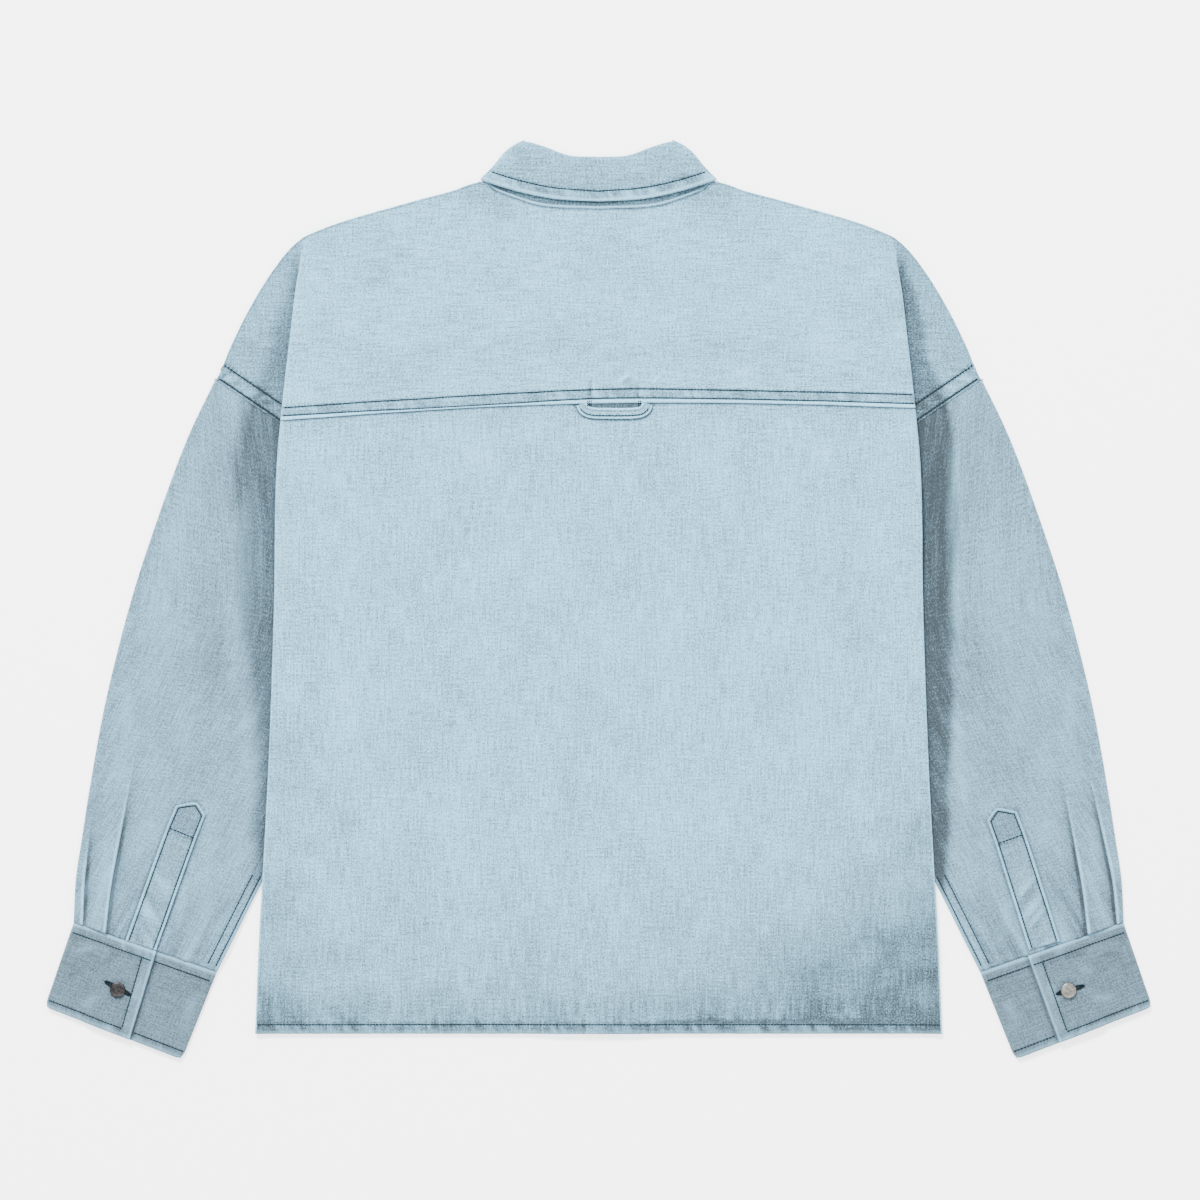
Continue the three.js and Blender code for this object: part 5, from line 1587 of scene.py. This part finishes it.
def make_buttonhole(name, start, end, tree):
    length, ux, uy = direction_of(start, end)
    centre = (np.array(start) + end) / 2
    half_length, wide, radius = length / 2, 1.25, 0.85
    count, sides = 48, 8
    co = []
    for k in range(count):
        t = 2 * math.pi * k / count
        along = half_length * math.copysign(abs(math.cos(t)) ** 0.7, math.cos(t))
        out = wide * math.copysign(abs(math.sin(t)) ** 0.8, math.sin(t))
        x = centre[0] + ux * along - uy * out
        y = centre[1] + uy * along + ux * out
        z = float(drop_all(tree, x, y, 6.5)) + 0.12
        r = radius * (1 + 0.16 * (k % 2))
        ox, oy = -uy * math.copysign(1, out), ux * math.copysign(1, out)
        if abs(math.cos(t)) > 0.93:
            ox, oy = ux * math.copysign(1, along), uy * math.copysign(1, along)
        for a in range(sides):
            angle = 2 * math.pi * a / sides
            reach = r * math.cos(angle)
            co.append(np.array([x + ox * reach, y + oy * reach, z + r * math.sin(angle)]))
    plain_mesh(name, co, ring_faces(0, count, sides, closed=True), BUTTONHOLE_THREAD)


for side, word in SIDES:
    make_buttonhole(f"buttonhole_{word}", *BUTTONHOLES[side], tree_of(cuffs[side]))


# Stitching
def mirrored(side, line):
    line = np.array(line, float)
    line[:, 0] *= side
    return line


lines = [table_line(YOKE_STITCH_HIGH, -265, 264), table_line(YOKE_STITCH_LOW, -266, 266)]
stitches("stitches_yoke", lines, body_tree)
hem_line = [(-288.6, HEM_STITCH_Y), (0, HEM_STITCH_Y + 0.2), (288.6, HEM_STITCH_Y - 0.1)]
stitches("stitches_hem", [hem_line], body_tree)
armhole_line = np.linspace(*np.array(ARMHOLE), 40)
for side, word in SIDES:
    lines = []
    for above in reversed(ARMHOLE_STITCHES):
        line = shifted(armhole_line, above)
        seen = (line[:, 0] > body_edge(line[:, 1]) - 0.5) & (line[:, 0] < ARMHOLE_STITCH_END_X)
        lines.append(mirrored(side, line[seen]))
    stitches(f"stitches_armhole_{word}", lines, tree_of(yoke), radius=0.6)

    def cuff_line(points):
        return mirrored(side, [cuff_point(a, d) for a, d in points])

    high_over, low_over = CUFF_OVERLAP[side]
    in_top, in_low = high_over + LAP_STITCH, low_over + LAP_STITCH
    top, low = CUFF_STITCHES
    cuff_lines = [
        cuff_line([(0.02, top), (high_over - LAP_GAP, top)]),
        cuff_line([(high_over + LAP_GAP, top), (0.985, top)]),
        cuff_line([(in_top, 0.11), (in_low, 0.90)]),
        cuff_line([(0.01, low), (low_over - LAP_GAP, low)]),
        cuff_line([(in_low, low), (0.985, low)]),
    ]
    stitches(f"stitches_cuff_{word}", cuff_lines, tree_of(cuffs[side]))
    # two rows along the felled underarm seam
    ix, iy, ox, oy = (curve(SLEEVE_ROWS, np.linspace(0.01, 0.17, 30), k) for k in (1, 2, 3, 4))
    lines = []
    for inset in UNDERARM_STITCHES:
        way = inset / np.hypot(ox - ix, oy - iy)
        lines.append(mirrored(side, np.stack([mix(ix, ox, way), mix(iy, oy, way)], -1)))
    stitches(f"stitches_underarm_{word}", lines, tree_of(sleeves[side]))
    # sleeve placket: round the house end, down both sides and across
    length = direction_of(*SLEEVE_PLACKETS[side])[0]

    def strip(points):
        return mirrored(side, [placket_point(side, s, q) for s, q in points])

    outline = [
        (length - 1, -10.9), (75, -12.3), (25, -13.8), (8, -14.9), (1.2, -6.8), (7.6, 5.9),
        (25, 7.6), (75, 9.3), (length - 1, 10.8),
    ]
    cross = [(27.5, -13.6), (26, 7.6)]
    tree = tree_of(plackets[side])
    stitches(f"stitches_placket_{word}", [strip(outline), strip(cross)], tree)

leaf_tree = tree_of(leaf)
leaf_line = table_line(COLLAR_EDGE, -90, 90, LEAF_STITCH)
stitches("stitches_collar_leaf", [leaf_line], leaf_tree)
neck_line = table_line(BACK_TOP, -92, 92, NECK_STITCH)
stitches("stitches_neck", [neck_line], body_tree, radius=0.26, pitch=2.2)

loop_middle = np.stack(loop_line(0.6, 40)[:2], -1)
stitches("stitches_loop", [shifted(loop_middle, -1.9)], tree_of(loop))
bars = [[(x, 162.6), (x + 0.3, 168.2)] for x in BARTACK_X]
stitches("bartacks_loop", bars, tree_of(loop, yoke, panel), radius=0.42, pitch=1.5)

# Underside: hem, front placket and collar points
under_tree = tree_of(*fronts, front_placket)
under = [
    [(-268, HEM_STITCH_Y), (-20, HEM_STITCH_Y)], [(20, HEM_STITCH_Y), (268, HEM_STITCH_Y)],
    *([(x, HEM_Y + 4), (x, FRONT_STITCH_TOP_Y)] for x in (-FRONT_STITCH_X, FRONT_STITCH_X)),
]
stitches("stitches_front", under, under_tree, down=False, pitch=3.2)
front_leaf = []
for side in (-1, 1):
    edge = [(float(curve(COLLAR_EDGE_FRONT, q, 1)) - 5.5, float(curve(COLLAR_EDGE_FRONT, q, 2)) + 2)
            for q in np.linspace(0.12, 0.9, 20)]
    start = [(16, 290), (62, 248)]
    front_leaf += [mirrored(side, edge), mirrored(side, start)]
stitches("stitches_collar_points", front_leaf, leaf_tree, down=False)

# Floor, light and camera
FLOOR_HALF = 6
FLOOR_Z = -0.0002
floor_mesh = bpy.data.meshes.new("floor")
corners = [(x * FLOOR_HALF, y * FLOOR_HALF, FLOOR_Z) for x, y in ((-1, -1), (1, -1), (1, 1), (-1, 1))]
floor_mesh.from_pydata(corners, [], [(0, 1, 2, 3)])
floor = bpy.data.objects.new("floor", floor_mesh)
bpy.context.collection.objects.link(floor)
floor_material, _, _, floor_shader = new_material("floor_paper")
set_inputs(floor_shader, {
    "Base Color": (0.92, 0.92, 0.92, 1), "Emission Color": (1, 1, 1, 1), "Emission Strength": 1.4,
    "Roughness": 1.0, "Specular IOR Level": 0.0,
})
floor_mesh.materials.append(floor_material)
floor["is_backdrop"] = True

world = bpy.data.worlds.new("studio")
world.use_nodes = True
set_inputs(world.node_tree.nodes["Background"], {"Color": (1, 1, 1, 1), "Strength": 2.3})
bpy.context.scene.world = world


def area_light(name, place, size, power):
    light = bpy.data.lights.new(name, "AREA")
    light.shape = "SQUARE"
    light.size = size
    light.energy = power
    lamp = bpy.data.objects.new(name, light)
    lamp.location = place
    lamp.rotation_euler = (-Vector(place)).to_track_quat("-Z", "Y").to_euler()
    bpy.context.collection.objects.link(lamp)


area_light("key_light", (-1.6, 4.2, 4.4), 1.6, 1240)
area_light("fill_light", (3.0, -1.0, 5.2), 3.0, 160)

# Straight down; the photograph shows a square of VIEW_WIDTH at the height of the cloth
VIEW_WIDTH = 1.0132
VIEW_MIDDLE = (0.0012, -0.0004)
VIEW_DISTANCE = 3.2
CAMERA_HEIGHT = VIEW_DISTANCE + 0.005
SENSOR_WIDTH = 36
camera_data = bpy.data.cameras.new("camera")
camera = bpy.data.objects.new("camera", camera_data)
bpy.context.collection.objects.link(camera)
camera.location = (*VIEW_MIDDLE, CAMERA_HEIGHT)
camera_data.sensor_width = SENSOR_WIDTH
camera_data.lens = SENSOR_WIDTH * VIEW_DISTANCE / VIEW_WIDTH
bpy.context.scene.camera = camera

visual_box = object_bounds()
plain = lambda box: [[float(v) for v in corner] for corner in box]
{"cad": plain(cad_box), "visual": plain(visual_box)}
